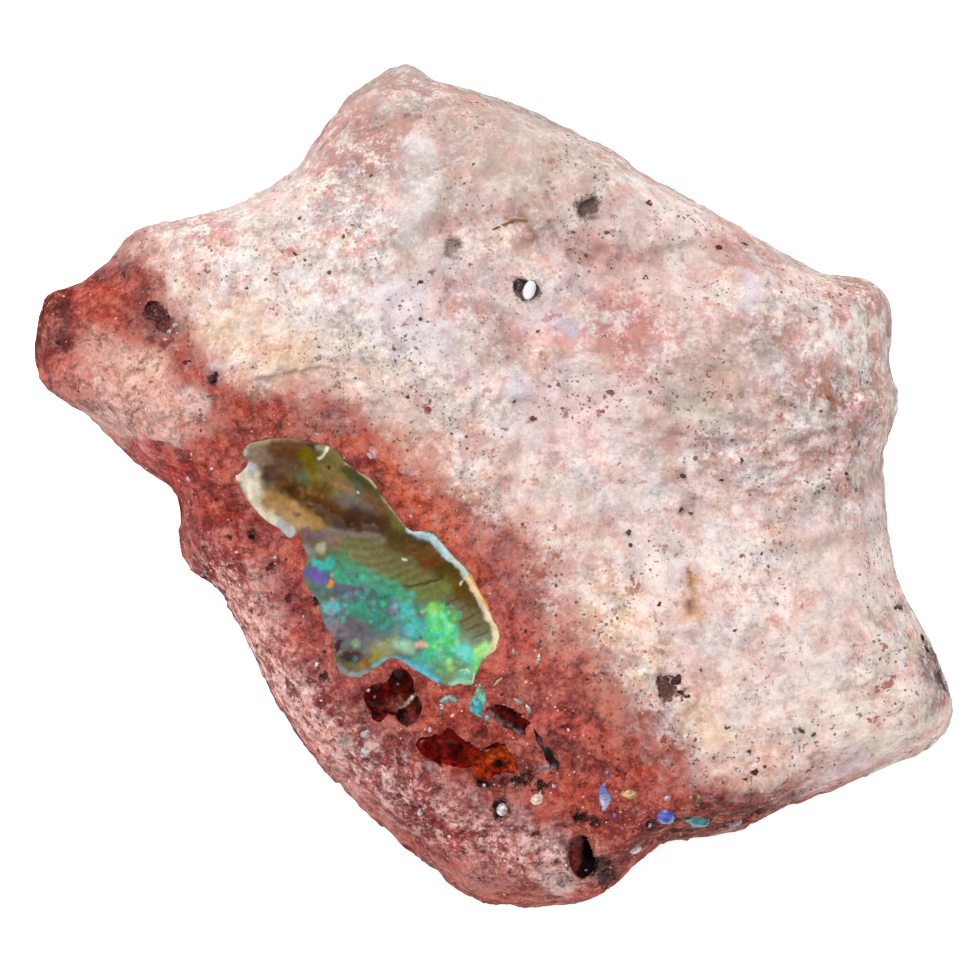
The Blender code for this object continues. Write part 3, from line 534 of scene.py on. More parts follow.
# Soft patches of colour on the rock, mostly stain and some painted shade: colour, half width, soft
# edge, strength, and points along it.
STAINS = [
    # the pale rock, from the peak down
    ("#B8958C", 0.8, 1.6, 0.8, (-5.5, 20.6), (-7.2, 18.6), (-9.0, 16.2)),
    ("#AC6E62", 0.2, 0.3, 0.85, (-7.8, 19.2), (-6.4, 20.1), (-5.2, 20.5)),
    ("#A47468", 0.25, 0.7, 0.8, (-6.8, 19.6), (-5.4, 20.4), (-3.6, 19.6)),
    ("#C9B6AD", 2.5, 2.5, 0.8, (-4.0, 16.6), (2.0, 16.4), (6.0, 14.0)),
    ("#C0ABA2", 1.2, 1.5, 0.7, (-0.5, 14.6), (3.5, 14.8)),
    ("#B9A69C", 3.0, 3.0, 0.65, (-4.0, 16.8), (1.6, 15.8), (5.4, 14.0)),
    ("#E0D6CC", 0.8, 0.9, 0.75, (-4.2, 17.0)),
    ("#D6D0D2", 0.9, 1.0, 0.7, (-5.2, 14.6), (-4.4, 13.6)),
    ("#DCCEC2", 1.3, 1.5, 0.7, (-12.6, 12.8)),
    ("#E2D6C0", 0.4, 0.7, 0.6, (-12.4, 12.2)),
    ("#CDBBB4", 3.0, 3.0, 0.6, (-10.8, 11.0), (-6.0, 8.5)),
    ("#E2D8D6", 1.2, 1.4, 0.7, (-9.5, 9.6), (-7.0, 8.0)),
    # painted shade along the upper furrow's crease
    ("#CA9C94", 0.55, 0.9, 0.85, (-1.4, 13.0), (2.2, 12.4), (6.2, 11.4), (9.0, 11.4), (12.4, 12.2)),
    ("#B0807A", 0.25, 0.4, 0.75, (3.0, 12.4), (6.2, 11.6), (9.5, 11.7), (12.2, 12.6)),
    ("#E9DCD8", 0.9, 1.2, 0.7, (7.2, 13.8), (9.6, 12.7)),
    ("#DFC4C2", 3.0, 3.0, 0.8, (1.0, 9.0), (5.0, 7.0), (9.0, 9.0)),
    ("#D3B9BC", 1.1, 1.4, 0.7, (3.2, 7.6)),
    ("#D8C6CE", 0.5, 0.6, 0.6, (3.4, 8.0)),
    ("#C9A59B", 0.5, 0.8, 0.6, (3.2, 6.6)),
    ("#C9AEB0", 1.0, 1.4, 0.6, (-1.6, 9.4), (-1.2, 6.8)),
    ("#E4CCC4", 2.6, 2.6, 0.7, (12.0, 9.0), (16.5, 8.0)),
    ("#A8938E", 0.7, 0.6, 0.8, (13.4, 7.2), (14.5, 6.9)),
    ("#CDB2AC", 1.0, 1.2, 0.7, (10.5, 5.5), (14.5, 5.6), (17.5, 6.2)),
    ("#C2A29C", 0.8, 1.0, 0.8, (8.5, 3.6), (12.0, 3.2), (16.0, 4.0), (18.8, 5.0)),
    ("#C09C96", 0.5, 0.8, 0.8, (8.0, 1.6), (12.0, 1.1), (16.0, 1.7), (18.8, 2.6)),
    ("#C8A8A2", 0.4, 0.8, 0.7, (9.0, -0.6), (13.0, -0.9), (17.5, -0.2)),
    ("#BC998E", 3.0, 2.4, 0.45, (12.0, 5.4), (17.4, 3.6)),
    ("#E7D3CE", 1.0, 1.2, 0.7, (16.6, 6.2), (18.6, 7.2)),
    ("#E8D0C8", 3.0, 3.0, 0.8, (12.0, -5.0), (16.0, -8.0)),
    ("#EBDAD2", 1.8, 1.8, 0.8, (18.0, -11.2), (20.4, -11.6)),
    ("#EADCC8", 0.9, 1.2, 0.6, (18.7, -11.8)),
    ("#E4CAB4", 1.4, 2.0, 0.6, (-12.5, 7.2), (-9.5, 5.6)),
    ("#DDB890", 0.6, 1.0, 0.6, (-12.4, 6.9), (-10.6, 6.4)),
    ("#EBCFA8", 0.7, 1.2, 0.5, (5.2, -5.8), (7.0, -8.6)),
    ("#E9D0AC", 0.6, 1.0, 0.5, (10.0, -11.6), (11.5, -12.8)),
    ("#C9977E", 0.35, 0.6, 0.6, (9.6, -4.4), (9.9, -6.4)),
    ("#B4826A", 0.14, 0.3, 0.8, (9.5, -4.8), (9.8, -5.6)),
    ("#AC8C84", 1.6, 1.6, 0.8, (-7.6, 17.0), (-3.4, 18.2)),
    ("#DCD2D2", 0.5, 0.5, 0.8, (-3.9, 16.6)),
    ("#C8B2AE", 1.2, 1.4, 0.6, (-6.4, 13.2)),
    ("#A88482", 0.8, 0.9, 0.8, (-0.2, 8.3), (0.4, 7.2)),
    ("#D49C94", 1.2, 1.4, 0.8, (5.4, 8.2), (7.2, 7.6)),
    ("#E8D6CE", 0.8, 0.8, 0.7, (17.2, 8.2)),
    ("#9A5042", 0.7, 0.8, 0.85, (16.4, 4.9), (17.6, 4.1)),
    ("#E8D2C6", 0.8, 0.8, 0.7, (18.8, -7.2)),
    ("#CCAE9E", 0.6, 0.6, 0.7, (21.0, -11.0)),
    ("#F6DED6", 0.8, 0.8, 0.7, (14.0, -10.4)),
    ("#DCB8BA", 1.0, 1.0, 0.7, (4.0, 2.6)),
    # broader painted shade in the same furrow
    ("#B88C84", 0.5, 0.8, 0.8, (1.6, 12.6), (5.2, 11.6), (7.8, 11.2)),
    ("#E8DFCC", 0.6, 0.6, 0.7, (-12.6, 12.6), (-12.3, 11.6)),
    ("#E0A89C", 0.5, 0.5, 0.7, (-14.6, 12.5), (-13.6, 11.9)),
    ("#E8C4A0", 0.5, 0.6, 0.6, (-13.8, 7.8), (-12.6, 7.0)),
    ("#9C7068", 1.2, 1.4, 0.8, (-7.6, 17.4), (-6.6, 16.8)),
    ("#BC746C", 0.9, 1.0, 0.8, (5.6, 8.4), (6.6, 7.6)),
    ("#F0E8E4", 0.9, 0.9, 0.85, (17.5, 8.1)),
    ("#B8A098", 0.6, 0.6, 0.7, (18.5, 0.2)),
    ("#DCCCC6", 1.0, 1.2, 0.6, (12.0, -3.0)),
    ("#F0DCD0", 0.8, 0.8, 0.8, (19.0, -7.0)),
    # the crack with its cream crumb
    ("#8C5A40", 0.06, 0.12, 0.9, (-0.3, 12.7), (0.3, 13.0), (1.0, 13.25), (1.6, 13.2)),
    ("#E8D2B8", 0.2, 0.25, 0.8, (-0.1, 12.35), (0.3, 12.2)),
    # the left end
    ("#D8AC9C", 1.6, 1.2, 0.95, (-19.0, 6.2), (-16.8, 5.2), (-15.6, 3.4)),
    ("#D9C2B0", 0.6, 0.7, 0.8, (-18.6, 6.8), (-17.6, 6.0)),
    ("#C08A7C", 0.9, 1.0, 0.7, (-20.6, 4.6), (-18.4, 2.8)),
    ("#842C28", 0.8, 0.5, 0.95, (-22.2, 9.2), (-21.9, 8.0), (-22.3, 6.6)),
    ("#52201E", 0.3, 0.3, 0.9, (-22.0, 7.4)),
    ("#A83A2C", 0.8, 0.6, 0.95, (-20.4, 9.4), (-18.9, 10.3), (-17.8, 9.3)),
    ("#C0523A", 0.3, 0.4, 0.8, (-19.6, 9.3), (-19.2, 8.7)),
    ("#8C3230", 0.35, 0.4, 0.9, (-20.9, 8.0), (-20.6, 9.6)),
    ("#9C4038", 0.5, 0.6, 0.8, (-18.6, 8.0), (-17.2, 7.4), (-16.2, 6.6)),
    ("#6A4038", 0.2, 0.3, 0.7, (-18.6, 10.5)),
    ("#641E24", 0.4, 0.4, 0.9, (-17.1, 8.7)),
    ("#D8C4B4", 0.3, 0.2, 0.8, (-15.8, 7.7)),
    ("#54203A", 0.2, 0.2, 0.9, (-14.0, 5.4)),
    ("#B9B0C0", 0.22, 0.15, 0.8, (-14.9, 6.0)),
    ("#B9B0C0", 0.2, 0.15, 0.7, (-13.9, 5.8)),
    ("#9E4A3E", 0.8, 1.0, 0.8, (-15.8, 6.6), (-14.2, 4.6), (-12.4, 3.6)),
    ("#E2C4BC", 0.4, 0.4, 0.85, (-15.4, 4.6), (-14.9, 4.1)),
    ("#DDB4AA", 0.35, 0.5, 0.8, (-15.2, 2.9), (-14.6, 2.4)),
    ("#D8AEA2", 0.4, 0.6, 0.7, (-17.2, 3.6)),
    ("#E6BEB4", 1.2, 1.2, 0.8, (-20.4, 4.6), (-18.4, 4.2), (-17.0, 2.6)),
    ("#E2B4A4", 0.8, 0.9, 0.8, (-19.2, 6.2), (-17.6, 4.8)),
    ("#842C26", 0.6, 0.5, 0.95, (-19.8, 10.6), (-18.6, 10.6), (-17.8, 9.8)),
    ("#5E1A18", 0.4, 0.4, 0.95, (-21.9, 9.4), (-22.0, 7.6)),
    ("#9E3A2A", 0.5, 0.5, 0.85, (-20.4, 9.2), (-19.4, 8.6)),
    ("#3E201C", 0.16, 0.14, 0.95, (-18.7, 10.9), (-18.4, 10.3)),
    # beside the lens
    ("#C8684A", 0.4, 0.5, 0.8, (-6.9, 1.9), (-5.4, 0.6), (-4.0, -0.9), (-2.2, -2.4), (-1.0, -3.8)),
    ("#B4483A", 0.6, 0.7, 0.8, (-8.0, 3.2), (-5.8, 1.4), (-4.2, -0.4), (-2.4, -2.0)),
    ("#C25A40", 0.35, 0.5, 0.7, (-7.2, 2.0), (-5.6, 0.9), (-4.4, -0.7)),
    ("#8E4440", 0.5, 0.6, 0.7, (-9.8, 4.0), (-7.6, 3.4)),
    ("#A8382E", 0.2, 0.2, 0.9, (-6.9, 1.45), (-6.4, 1.1)),
    ("#E8C8D8", 0.1, 0.12, 0.9, (-6.6, 1.5), (-6.35, 1.3)),
    ("#C4584A", 0.9, 1.0, 0.7, (-2.2, -3.0), (-0.4, -5.0), (1.0, -7.6)),
    ("#98484A", 1.3, 1.4, 0.7, (0.8, -4.4), (2.6, -7.4), (4.6, -10.4)),
    ("#C0665C", 0.8, 1.2, 0.6, (1.4, -9.0), (3.6, -12.0)),
    ("#C28A76", 0.7, 1.0, 0.6, (5.0, -9.6), (6.4, -11.6)),
    ("#9A4440", 0.9, 1.2, 0.8, (-14.6, 0.4), (-13.0, -3.0), (-11.4, -5.6)),
    ("#8E3A3A", 0.6, 0.8, 0.7, (-10.4, -4.6), (-9.4, -8.0), (-7.2, -10.4)),
    ("#C48680", 0.55, 0.7, 0.75, (-13.2, -4.8), (-12.2, -7.0), (-9.8, -10.8), (-7.6, -13.4)),
    ("#D29A92", 0.3, 0.5, 0.7, (-13.0, -5.6), (-11.2, -8.8), (-9.0, -12.6), (-6.8, -15.2)),
    ("#B87C78", 0.9, 1.0, 0.7, (-6.6, -14.2), (-3.6, -17.0), (-0.8, -19.2)),
    ("#B88A8C", 0.9, 1.0, 0.6, (-6.6, -12.8), (-5.4, -14.6)),
    ("#BE9A9C", 0.8, 1.0, 0.7, (1.0, -17.0), (2.8, -18.4)),
    ("#CBB0AE", 0.5, 0.7, 0.7, (2.6, -17.4), (2.9, -19.4)),
    ("#AE6A66", 1.0, 1.2, 0.7, (-2.4, -16.0), (0.4, -18.8)),
    # below and right of the fire opal
    ("#AE4A3E", 0.8, 1.0, 0.7, (2.6, -15.6), (5.4, -14.2), (8.0, -14.6)),
    ("#8A3C3A", 0.7, 0.9, 0.7, (8.2, -12.6), (9.2, -14.2)),
    ("#B04438", 0.4, 0.6, 0.6, (8.6, -13.2), (9.2, -14.4)),
    # darker along the foot's lower right edge: partly the red rock's own colour, partly painted shade
    # where the edge turns away from the light
    ("#8E5A56", 0.4, 0.6, 0.9, (9.0, -17.6), (12.4, -16.4), (15.2, -15.5)),
    ("#C09C9C", 0.4, 0.5, 0.8, (16.4, -14.8), (20.0, -13.4)),
    ("#6E3A36", 0.25, 0.5, 0.8, (8.6, -17.9), (11.9, -17.1), (14.6, -16.0)),
    ("#3A201C", 0.2, 0.25, 0.9, (21.6, -7.4), (21.95, -8.6), (22.4, -10.1)),
    ("#3A100E", 0.35, 0.35, 0.85, (4.9, -19.2), (5.8, -18.9), (6.4, -18.4)),
    ("#A03420", 0.2, 0.25, 0.9, (4.8, -16.6), (5.1, -16.8)),
    ("#5C1A1A", 0.6, 0.7, 0.9, (8.4, -17.5), (11.0, -16.0), (12.4, -16.1), (14.2, -15.4)),
    ("#7C2222", 0.6, 0.7, 0.85, (5.6, -17.3), (7.4, -16.8)),
    ("#96262A", 0.5, 0.5, 0.8, (-14.2, -1.6), (-13.5, -3.4)),
    ("#842A2A", 0.6, 0.7, 0.72, (-9.4, -9.2), (-8.5, -10.8)),
    ("#C86A50", 0.4, 0.4, 0.7, (-2.9, -1.6), (-2.0, -2.4)),
    ("#C85A3C", 0.25, 0.3, 0.8, (-4.9, 0.3), (-3.6, -1.4), (-1.9, -3.0), (-0.9, -4.4), (-0.2, -6.4)),
    ("#CFA8A6", 0.5, 0.5, 0.8, (2.6, -19.2), (3.4, -19.8)),
    ("#E4C4BC", 0.6, 0.7, 0.4, (10.0, -14.3), (11.4, -14.0)),
    ("#DCC0BE", 0.5, 0.5, 0.85, (2.4, -19.2), (3.4, -19.8)),
    ("#DC7C5C", 0.3, 0.4, 0.8, (-3.0, -1.5), (-2.0, -2.4)),
    ("#D89C8C", 0.4, 0.5, 0.3, (-5.8, 2.0), (-5.2, 1.6)),
    # more of the same: the rock's dark red and painted shade along the foot's edge
    ("#461210", 0.35, 0.4, 0.85, (8.8, -17.6), (11.0, -16.6), (13.0, -16.2)),
    ("#4A1410", 0.35, 0.3, 0.9, (1.3, -14.5), (2.2, -15.1)),
    ("#6E2018", 0.25, 0.2, 0.9, (-0.3, -14.9), (0.6, -14.7)),
    ("#5A1A16", 0.1, 0.2, 0.7, (-6.8, -10.6), (-6.4, -11.6)),
    ("#DCCCD0", 0.5, 0.6, 0.6, (16.4, -14.4), (17.8, -13.9)),
    ("#F4BCB2", 0.5, 0.4, 0.95, (-11.4, -5.0), (-10.8, -6.0)),
    ("#6E4052", 0.6, 0.6, 0.6, (-11.4, -2.6), (-10.6, -2.3)),
    ("#7E3436", 0.5, 0.5, 0.85, (-12.1, -3.3), (-11.8, -3.9)),
    (
        "#F8BCB2", 0.45, 0.5, 0.85, (-12.6, -5.7), (-11.7, -7.7), (-10.7, -9.8), (-9.3, -12.1),
        (-8.5, -13.0),
    ),
    ("#FCE0DA", 0.4, 0.3, 0.9, (-10.9, -9.3), (-10.3, -10.4)),
    ("#843032", 0.8, 0.8, 0.95, (-3.6, -17.0), (-2.8, -17.9)),
    ("#6A2A2C", 0.7, 0.6, 0.9, (-4.7, -13.1), (-4.0, -13.8)),
    ("#76505E", 0.5, 0.6, 0.6, (-3.0, -14.6)),
    ("#4A1C1E", 0.6, 0.4, 0.92, (-0.6, -17.5), (-0.3, -17.8)),
    ("#9C605A", 0.5, 0.6, 0.7, (6.8, -11.4)),
    ("#DC8C70", 0.6, 0.5, 0.65, (4.6, -9.6)),
    ("#A82A24", 0.8, 0.7, 0.9, (-17.4, 1.5), (-16.2, 0.7)),
    ("#F8D0BA", 0.7, 0.6, 0.8, (-17.8, 6.2), (-17.4, 6.2)),
    ("#B05850", 0.6, 0.7, 0.8, (-21.8, 5.8), (-21.2, 4.8)),
    ("#9C3028", 0.6, 0.6, 0.85, (-11.5, 4.0), (-10.1, 3.8)),
    ("#CC907C", 0.6, 0.7, 0.6, (3.2, -7.6)),
    ("#643430", 0.35, 0.4, 0.9, (21.45, -8.4), (21.7, -9.3), (22.1, -10.4)),
    ("#FCECE6", 0.6, 0.7, 0.8, (19.2, -3.6)),
    ("#A0464A", 1.1, 1.1, 0.3, (-11.8, -1.8), (-10.6, -4.4), (-9.8, -7.2), (-8.6, -9.4)),
    ("#803034", 0.6, 0.6, 0.7, (-10.7, -7.8), (-10.3, -8.3)),
    # the rock's dark red and painted shade along the foot's edge
    ("#8A2E30", 0.5, 0.6, 0.7, (10.5, -15.9), (11.5, -15.6)),
    ("#661C1C", 0.4, 0.4, 0.7, (8.2, -17.5), (9.2, -17.3)),
    ("#ECD0CC", 0.4, 0.4, 0.8, (2.6, -19.3), (3.4, -19.7)),
    ("#A83832", 0.7, 0.8, 0.7, (-14.5, 1.6), (-13.9, 1.2)),
    ("#ECDAD2", 0.7, 0.8, 0.7, (1.3, 9.9)),
    ("#DC9078", 0.5, 0.6, 0.5, (-3.4, 0.2)),
    ("#94402E", 0.3, 0.3, 0.8, (22.0, -10.6)),
    ("#4A2A26", 0.3, 0.3, 0.8, (21.5, -9.0), (21.7, -9.5)),
    ("#A28E88", 0.5, 0.2, 0.7, (13.2, 7.1), (14.2, 7.4), (14.4, 6.9)),
    ("#96645C", 0.7, 0.8, 0.9, (18.8, 9.0), (18.2, 9.8)),
    ("#B88E84", 0.5, 0.7, 0.8, (19.4, 5.2), (19.2, 6.8)),
    ("#AE7C72", 0.5, 0.7, 0.8, (12.0, 12.0), (13.4, 11.7)),
    ("#BC988A", 0.5, 0.7, 0.7, (-2.2, 19.3), (0.2, 18.8)),
    ("#BC948C", 0.6, 0.8, 0.8, (-15.4, 12.8), (-14.4, 12.9)),
    # the rock's dark red and painted shade along the foot's edge
    ("#5A1C1A", 0.8, 0.5, 0.7, (7.6, -18.2), (9.2, -17.2), (11.6, -16.7), (14.0, -16.0)),
    ("#2E0C0A", 0.12, 0.15, 0.85, (8.6, -17.0), (10.4, -17.3), (12.6, -16.7), (14.6, -15.7)),
    ("#C48680", 0.6, 0.7, 0.5, (-2.4, -15.9), (-1.6, -16.3)),
    ("#B09088", 0.6, 0.6, 0.7, (18.6, -0.1), (18.8, 0.4)),
    ("#844042", 0.5, 0.7, 0.7, (-11.4, -4.4), (-10.4, -6.2), (-9.6, -7.8), (-8.7, -9.6)),
    ("#A2443A", 0.12, 0.2, 0.8, (-12.9, -5.6), (-12.0, -7.4), (-10.9, -9.6), (-9.6, -11.8)),
    ("#ECC6BE", 0.08, 0.12, 0.85, (-12.7, -3.6), (-11.5, -6.3), (-10.7, -8.2), (-9.4, -10.6)),
    ("#E4B8B0", 0.06, 0.1, 0.8, (-12.2, -4.2), (-11.1, -6.3), (-10.2, -8.3)),
    ("#A23E36", 0.7, 0.8, 0.5, (2.4, -10.5), (3.4, -11.6)),
    ("#B86E68", 0.5, 0.6, 0.5, (-12.0, -4.6), (-11.3, -5.3)),
    ("#B85A52", 0.4, 0.5, 0.6, (-10.7, -7.6), (-10.3, -8.5)),
    ("#8E4644", 0.6, 0.7, 0.6, (-6.6, -12.4), (-5.6, -13.4)),
    ("#E8DAD4", 0.6, 0.7, 0.7, (8.6, 0.4), (9.4, 0.4)),
    ("#E6D4CE", 0.6, 0.7, 0.8, (9.2, 11.5)),
    ("#943834", 0.5, 0.6, 0.6, (6.6, -14.4), (7.5, -14.9)),
    ("#86302C", 0.35, 0.4, 0.7, (-17.6, 8.6), (-16.2, 7.0), (-15.0, 5.6), (-13.8, 4.8), (-12.4, 3.9)),
]
# Fragments of older rock and stains with a sharp edge, in the same form, with painted shadows and
# painted highlights along the flow ledges.
FRAGMENTS = [
    ("#E4DCE2", 1.1, 0.7, 0.8, (-5.0, 9.0), (-3.4, 7.6)),
    ("#CDC6D2", 0.45, 0.15, 0.9, (3.2, 8.1), (3.6, 7.6)),
    ("#BDA29E", 0.3, 0.15, 0.85, (-0.6, 7.9), (0.1, 7.2), (0.6, 6.9)),
    ("#D2CAD4", 0.5, 0.2, 0.85, (1.2, 5.3), (1.0, 4.6)),
    ("#C2A6A2", 0.3, 0.12, 0.85, (3.1, 5.6), (3.3, 5.1)),
    ("#C09C98", 0.3, 0.15, 0.8, (0.9, 6.8), (1.6, 6.2)),
    ("#DCA8A0", 0.25, 0.2, 0.8, (2.2, 7.2), (3.6, 6.8)),
    ("#C89A6A", 0.2, 0.2, 0.8, (9.5, -4.2), (9.8, -6.4)),
    ("#9A6640", 0.09, 0.1, 0.95, (9.45, -4.4), (9.65, -5.2), (9.55, -6.2)),
    ("#5E3A26", 0.06, 0.08, 0.9, (9.6, -5.4), (9.5, -6.2)),
    # painted shade in a grey triangle
    ("#A89088", 0.15, 0.15, 0.8, (8.6, -7.1), (9.4, -7.4), (10.4, -8.2)),
    ("#A39089", 0.7, 0.2, 0.9, (13.2, 6.9), (14.4, 6.8)),
    ("#8A7874", 0.1, 0.15, 0.7, (13.6, 7.6), (14.9, 7.0), (15.0, 6.4)),
    ("#C4A898", 0.6, 0.4, 0.8, (10.2, 5.1), (12.0, 5.0)),
    ("#D4CABE", 0.4, 0.3, 0.8, (8.8, 3.9), (11.6, 3.5)),
    # painted shadows under the flow ledges, and a painted highlight on a crest
    ("#94807C", 0.15, 0.15, 0.8, (12.0, 3.3), (13.4, 3.0), (15.6, 3.4)),
    ("#8E7874", 0.12, 0.14, 0.8, (13.0, 0.9), (15.0, 1.4), (17.2, 2.2)),
    ("#F2E6E0", 0.06, 0.08, 0.8, (13.2, 1.3), (15.2, 1.8), (17.0, 2.5)),
    ("#CFA8A4", 0.12, 0.15, 0.7, (7.4, 0.6), (9.6, 0.2), (11.8, 0.4)),
    ("#B09A90", 0.3, 0.3, 0.75, (19.0, 0.3), (16.5, -0.5), (14.0, -1.4)),
    ("#B5A196", 0.3, 0.3, 0.7, (19.6, -2.0), (16.6, -2.6), (13.8, -3.2)),
    # more painted shadows under the ledges, and painted highlights on their crests
    ("#8A7672", 0.14, 0.12, 0.85, (15.8, 4.0), (17.0, 3.6), (18.4, 3.8)),
    ("#9A8480", 0.2, 0.15, 0.8, (14.0, 4.2), (15.2, 3.9)),
    ("#F4E8E2", 0.08, 0.08, 0.85, (14.4, 3.4), (16.0, 3.1), (17.4, 3.2)),
    ("#8A7672", 0.12, 0.12, 0.85, (14.2, 2.2), (15.6, 2.5), (17.0, 2.8)),
    ("#9E5A4A", 0.3, 0.2, 0.8, (16.2, 4.6), (16.8, 4.2)),
    ("#7A6A68", 0.2, 0.15, 0.8, (16.9, 5.6), (17.4, 5.2)),
    # a painted shadow under the lowest ledge
    ("#8E7A74", 0.12, 0.14, 0.8, (8.8, 2.7), (10.6, 2.2), (12.4, 2.4)),
    ("#D8C6D2", 0.3, 0.15, 0.8, (12.6, 10.6), (12.9, 9.4), (12.4, 8.6)),
    ("#C88C86", 0.08, 0.1, 0.8, (11.4, 11.0), (12.4, 11.2), (13.2, 10.6)),
]
# Colours across the red band's edge, by distance from it in millimetres, from the red to the pale rock.
BAND = [
    (-2.5, "#983E34"), (-1.2, "#A65044"), (-0.2, "#B87A6C"), (0.9, "#D2A292"), (2.0, "#DEB8AA"),
    (3.4, "#DFC4BC"), (5.0, "#DECAC6"),
]  # fmt: skip
BAND_SWAY = [(1.8, 1.1), (0.6, 0.5)]  # size and reach of the wandering of its edge and of the stains
BAND_LEAN, LEAN_FROM = 0.15, 17  # how far the band shifts for each millimetre below that height
BAND_SPECKLE = (0.45, 0.8, 0.7)  # the broken grain of its edge: size, weakening of its layers, reach
RED_START, RED_WIDTH = 0.45, 2.6  # the red's own markings at the edge, and the width they fade over
FRINGE = 2.2  # how far from the edge it is most speckled
STAIN_SWAY, FRAGMENT_SWAY = 0.7, 0.3  # shares of the edge's wandering that these have
BROAD_STAIN = 0.8  # half width from which a stain goes through the rock
SIDE_FROM = 3.6  # how far below the top side's faces the sides start to be marked in their own way
SIDE_FADE = 2.0  # over what depth they pass into it
SIDE_SWAY = [(6.0, 6.0), (2.0, 1.6)]  # size and reach of the marks' further wandering there
RELIEF_SHADING = 0.9  # how much each millimetre of relief changes the colour: painted light on raised grain, painted shade in crevices
MOST_PAINTED_SHADE, MOST_PAINTED_LIGHT = 0.5, 1.2  # the darkest and the palest that it gets by that
SHADE_TINT = np.array([0.75, 1.0, 1.0])  # shares of red, green and blue that the painted shade takes
RIM_SHADE, RIM_SHADE_SHARE = 0.4, 0.34  # width and strength of the painted shade along the widest edge, where the surface turns away from the light
DOT_CLUSTERS = [(3.0, 0.8)]  # size of the places where dark crystals gather, and how much they do
MOTTLING = [(5.0, 0.7)]  # size of the places where the pale rock is more mottled, and by how much
SMOOTH_PATCHES = [  # x, y and radius of the faces where it is least mottled, and by how much
    (0.0, 17.0, 6.0, 0.45), (7.6, 7.4, 4.4, 0.5), (14.0, -8.0, 5.0, 0.3),
]  # fmt: skip
ROUGH_PATCH = (15.4, 2.4, 4.2, 0.5)  # and where it is most
# The strip where crushed pale grains cover the red, its half width, and a round patch of the same.
DUSTY_RIM = [(-13.8, -4.6), (-12.6, -6.6), (-9.6, -11.4), (-6.2, -14.2), (-1.5, -17.2), (3.4, -18.8)]
DUSTY_WIDTH = 1.7
DUSTY_PATCH = (-18.6, 4.2, 3.2)
PIT_WALL = 0.5  # share of a pit's radius that its wall takes
PIT_BEND = 0.6  # how the wall is hollowed out, where 1 is straight
PIT_EDGE = [(0.7, 0.3), (0.25, 0.12)]  # size and reach of its ragged edge
PIT_SHAPE = 0.4  # a pit's width over its depth, where it opens on a side
PIT_STAIN = 1.5  # how many radii out its stain ends
# How far past the red band and past the pits the starting ball is divided once more, and then again.
FINER = [(2.0, 0.4), (-math.inf, 0.15)]


def spread(directions):
    """For points on a unit ball: whether each comes on the top side, and its place in the plane."""
    angle = np.arctan2(directions[:, 1], directions[:, 0])
    down = np.arccos(np.clip(directions[:, 2], -1, 1))
    top_end = math.pi * TOP_SHARE
    on_top = down <= top_end
    turn = np.where(on_top, down / top_end, (math.pi - down) / (math.pi - top_end)) * math.pi / 2
    out = np.sin(turn) * reach(OUTLINE, (0, 0), angle)
    return on_top, out * np.cos(angle), out * np.sin(angle)


stone = bmesh.new()
bmesh.ops.create_icosphere(stone, subdivisions=7, radius=1.0)
for past_band, past_pit in FINER:
    stone.verts.index_update()
    on_top, x, y = spread(np.array([v.co for v in stone.verts]))
    detailed = beside(RED_EDGE, x, y) < past_band
    for px, py, radius, *_ in PITS:
        detailed |= np.hypot(x - px, y - py) < radius + past_pit
    detailed &= on_top
    bmesh.ops.subdivide_edges(
        stone,
        edges=[e for e in stone.edges if all(detailed[v.index] for v in e.verts)],
        cuts=1,
        use_grid_fill=True,
    )
    bmesh.ops.triangulate(stone, faces=stone.faces[:])
    for v in stone.verts:
        v.co.normalize()
on_top, x, y = spread(np.array([v.co for v in stone.verts]))
z = np.where(on_top, stone_height(x, y), stone_height(x, y, top=False))
for points, _, depth in HOLLOWS.values():
    z -= on_top * depth * np.clip((within(points, x, y) - HOLLOW_LEDGE) / HOLLOW_WALL, 0, 1)
ragged = wander(x, y, PIT_EDGE)
for px, py, radius, depth, _ in PITS:
    away = np.hypot(x + ragged[0] - px, y + ragged[1] - py) / radius
    z -= on_top * depth * np.clip((1 - away) / PIT_WALL, 0, 1) ** PIT_BEND
for v, *spot in zip(stone.verts, x, y, np.maximum(z, 0)):
    v.co = Vector(spot)
bmesh.ops.recalc_face_normals(stone, faces=stone.faces[:])
stone.normal_update()

spots = [v.co.copy() for v in stone.verts]
x, y, z = np.array(spots).T
calm = np.clip(z / CALM_FOOT, 0, 1)
from_opal = -np.max([within(points, x, y) for points, *_ in HOLLOWS.values()], 0)
from_rim = inset(x, y)
calm *= np.clip(from_opal / CALM_OPAL, OPAL_ROUGHNESS, 1)
calm *= np.clip(from_rim / CALM_RIM, RIM_ROUGHNESS, 1)
relief = chipped(spots, CHIPS)
for size, height in GRAIN:
    relief += height * np.array([noise.fractal(spot / size, *FRACTAL) for spot in spots])
drift = wander(x, y, BAND_SWAY)
# The lava's flow left thin uneven steps that cross the right side, each steep on its lower side.
mid_x, mid_y, half_x, half_y, spacing, height = FLOW_STEPS
share = np.clip(STEP_SPREAD - np.hypot((x - mid_x) / half_x, (y - mid_y) / half_y), 0, 1)
phase = (y - STEP_TILT * x + STEP_BOW * (x - mid_x) ** 2 + drift[1] * STEP_SWAY) / spacing
relief += height * share * ((phase % 1) ** STEP_SHAPE - 0.5)
# Fine flow streaks run along the lower left rim.
along = np.array(RIM_STREAKS[-1]) - np.array(RIM_STREAKS[0])
along /= np.hypot(*along)
share = np.exp(-((beside(RIM_STREAKS, x, y) / STREAK_WIDTH) ** 2))
runs = np.column_stack([x * along[0] + y * along[1], y * along[0] - x * along[1], z]) / STREAK_SIZE
relief += STREAK_HEIGHT * share * np.array([noise.fractal(Vector(run), *FRACTAL) for run in runs])
for v, spot, rise in zip(stone.verts, spots, relief * calm):
    v.co = (spot + v.normal * rise) * MM
    v.co.z = max(v.co.z, 0)

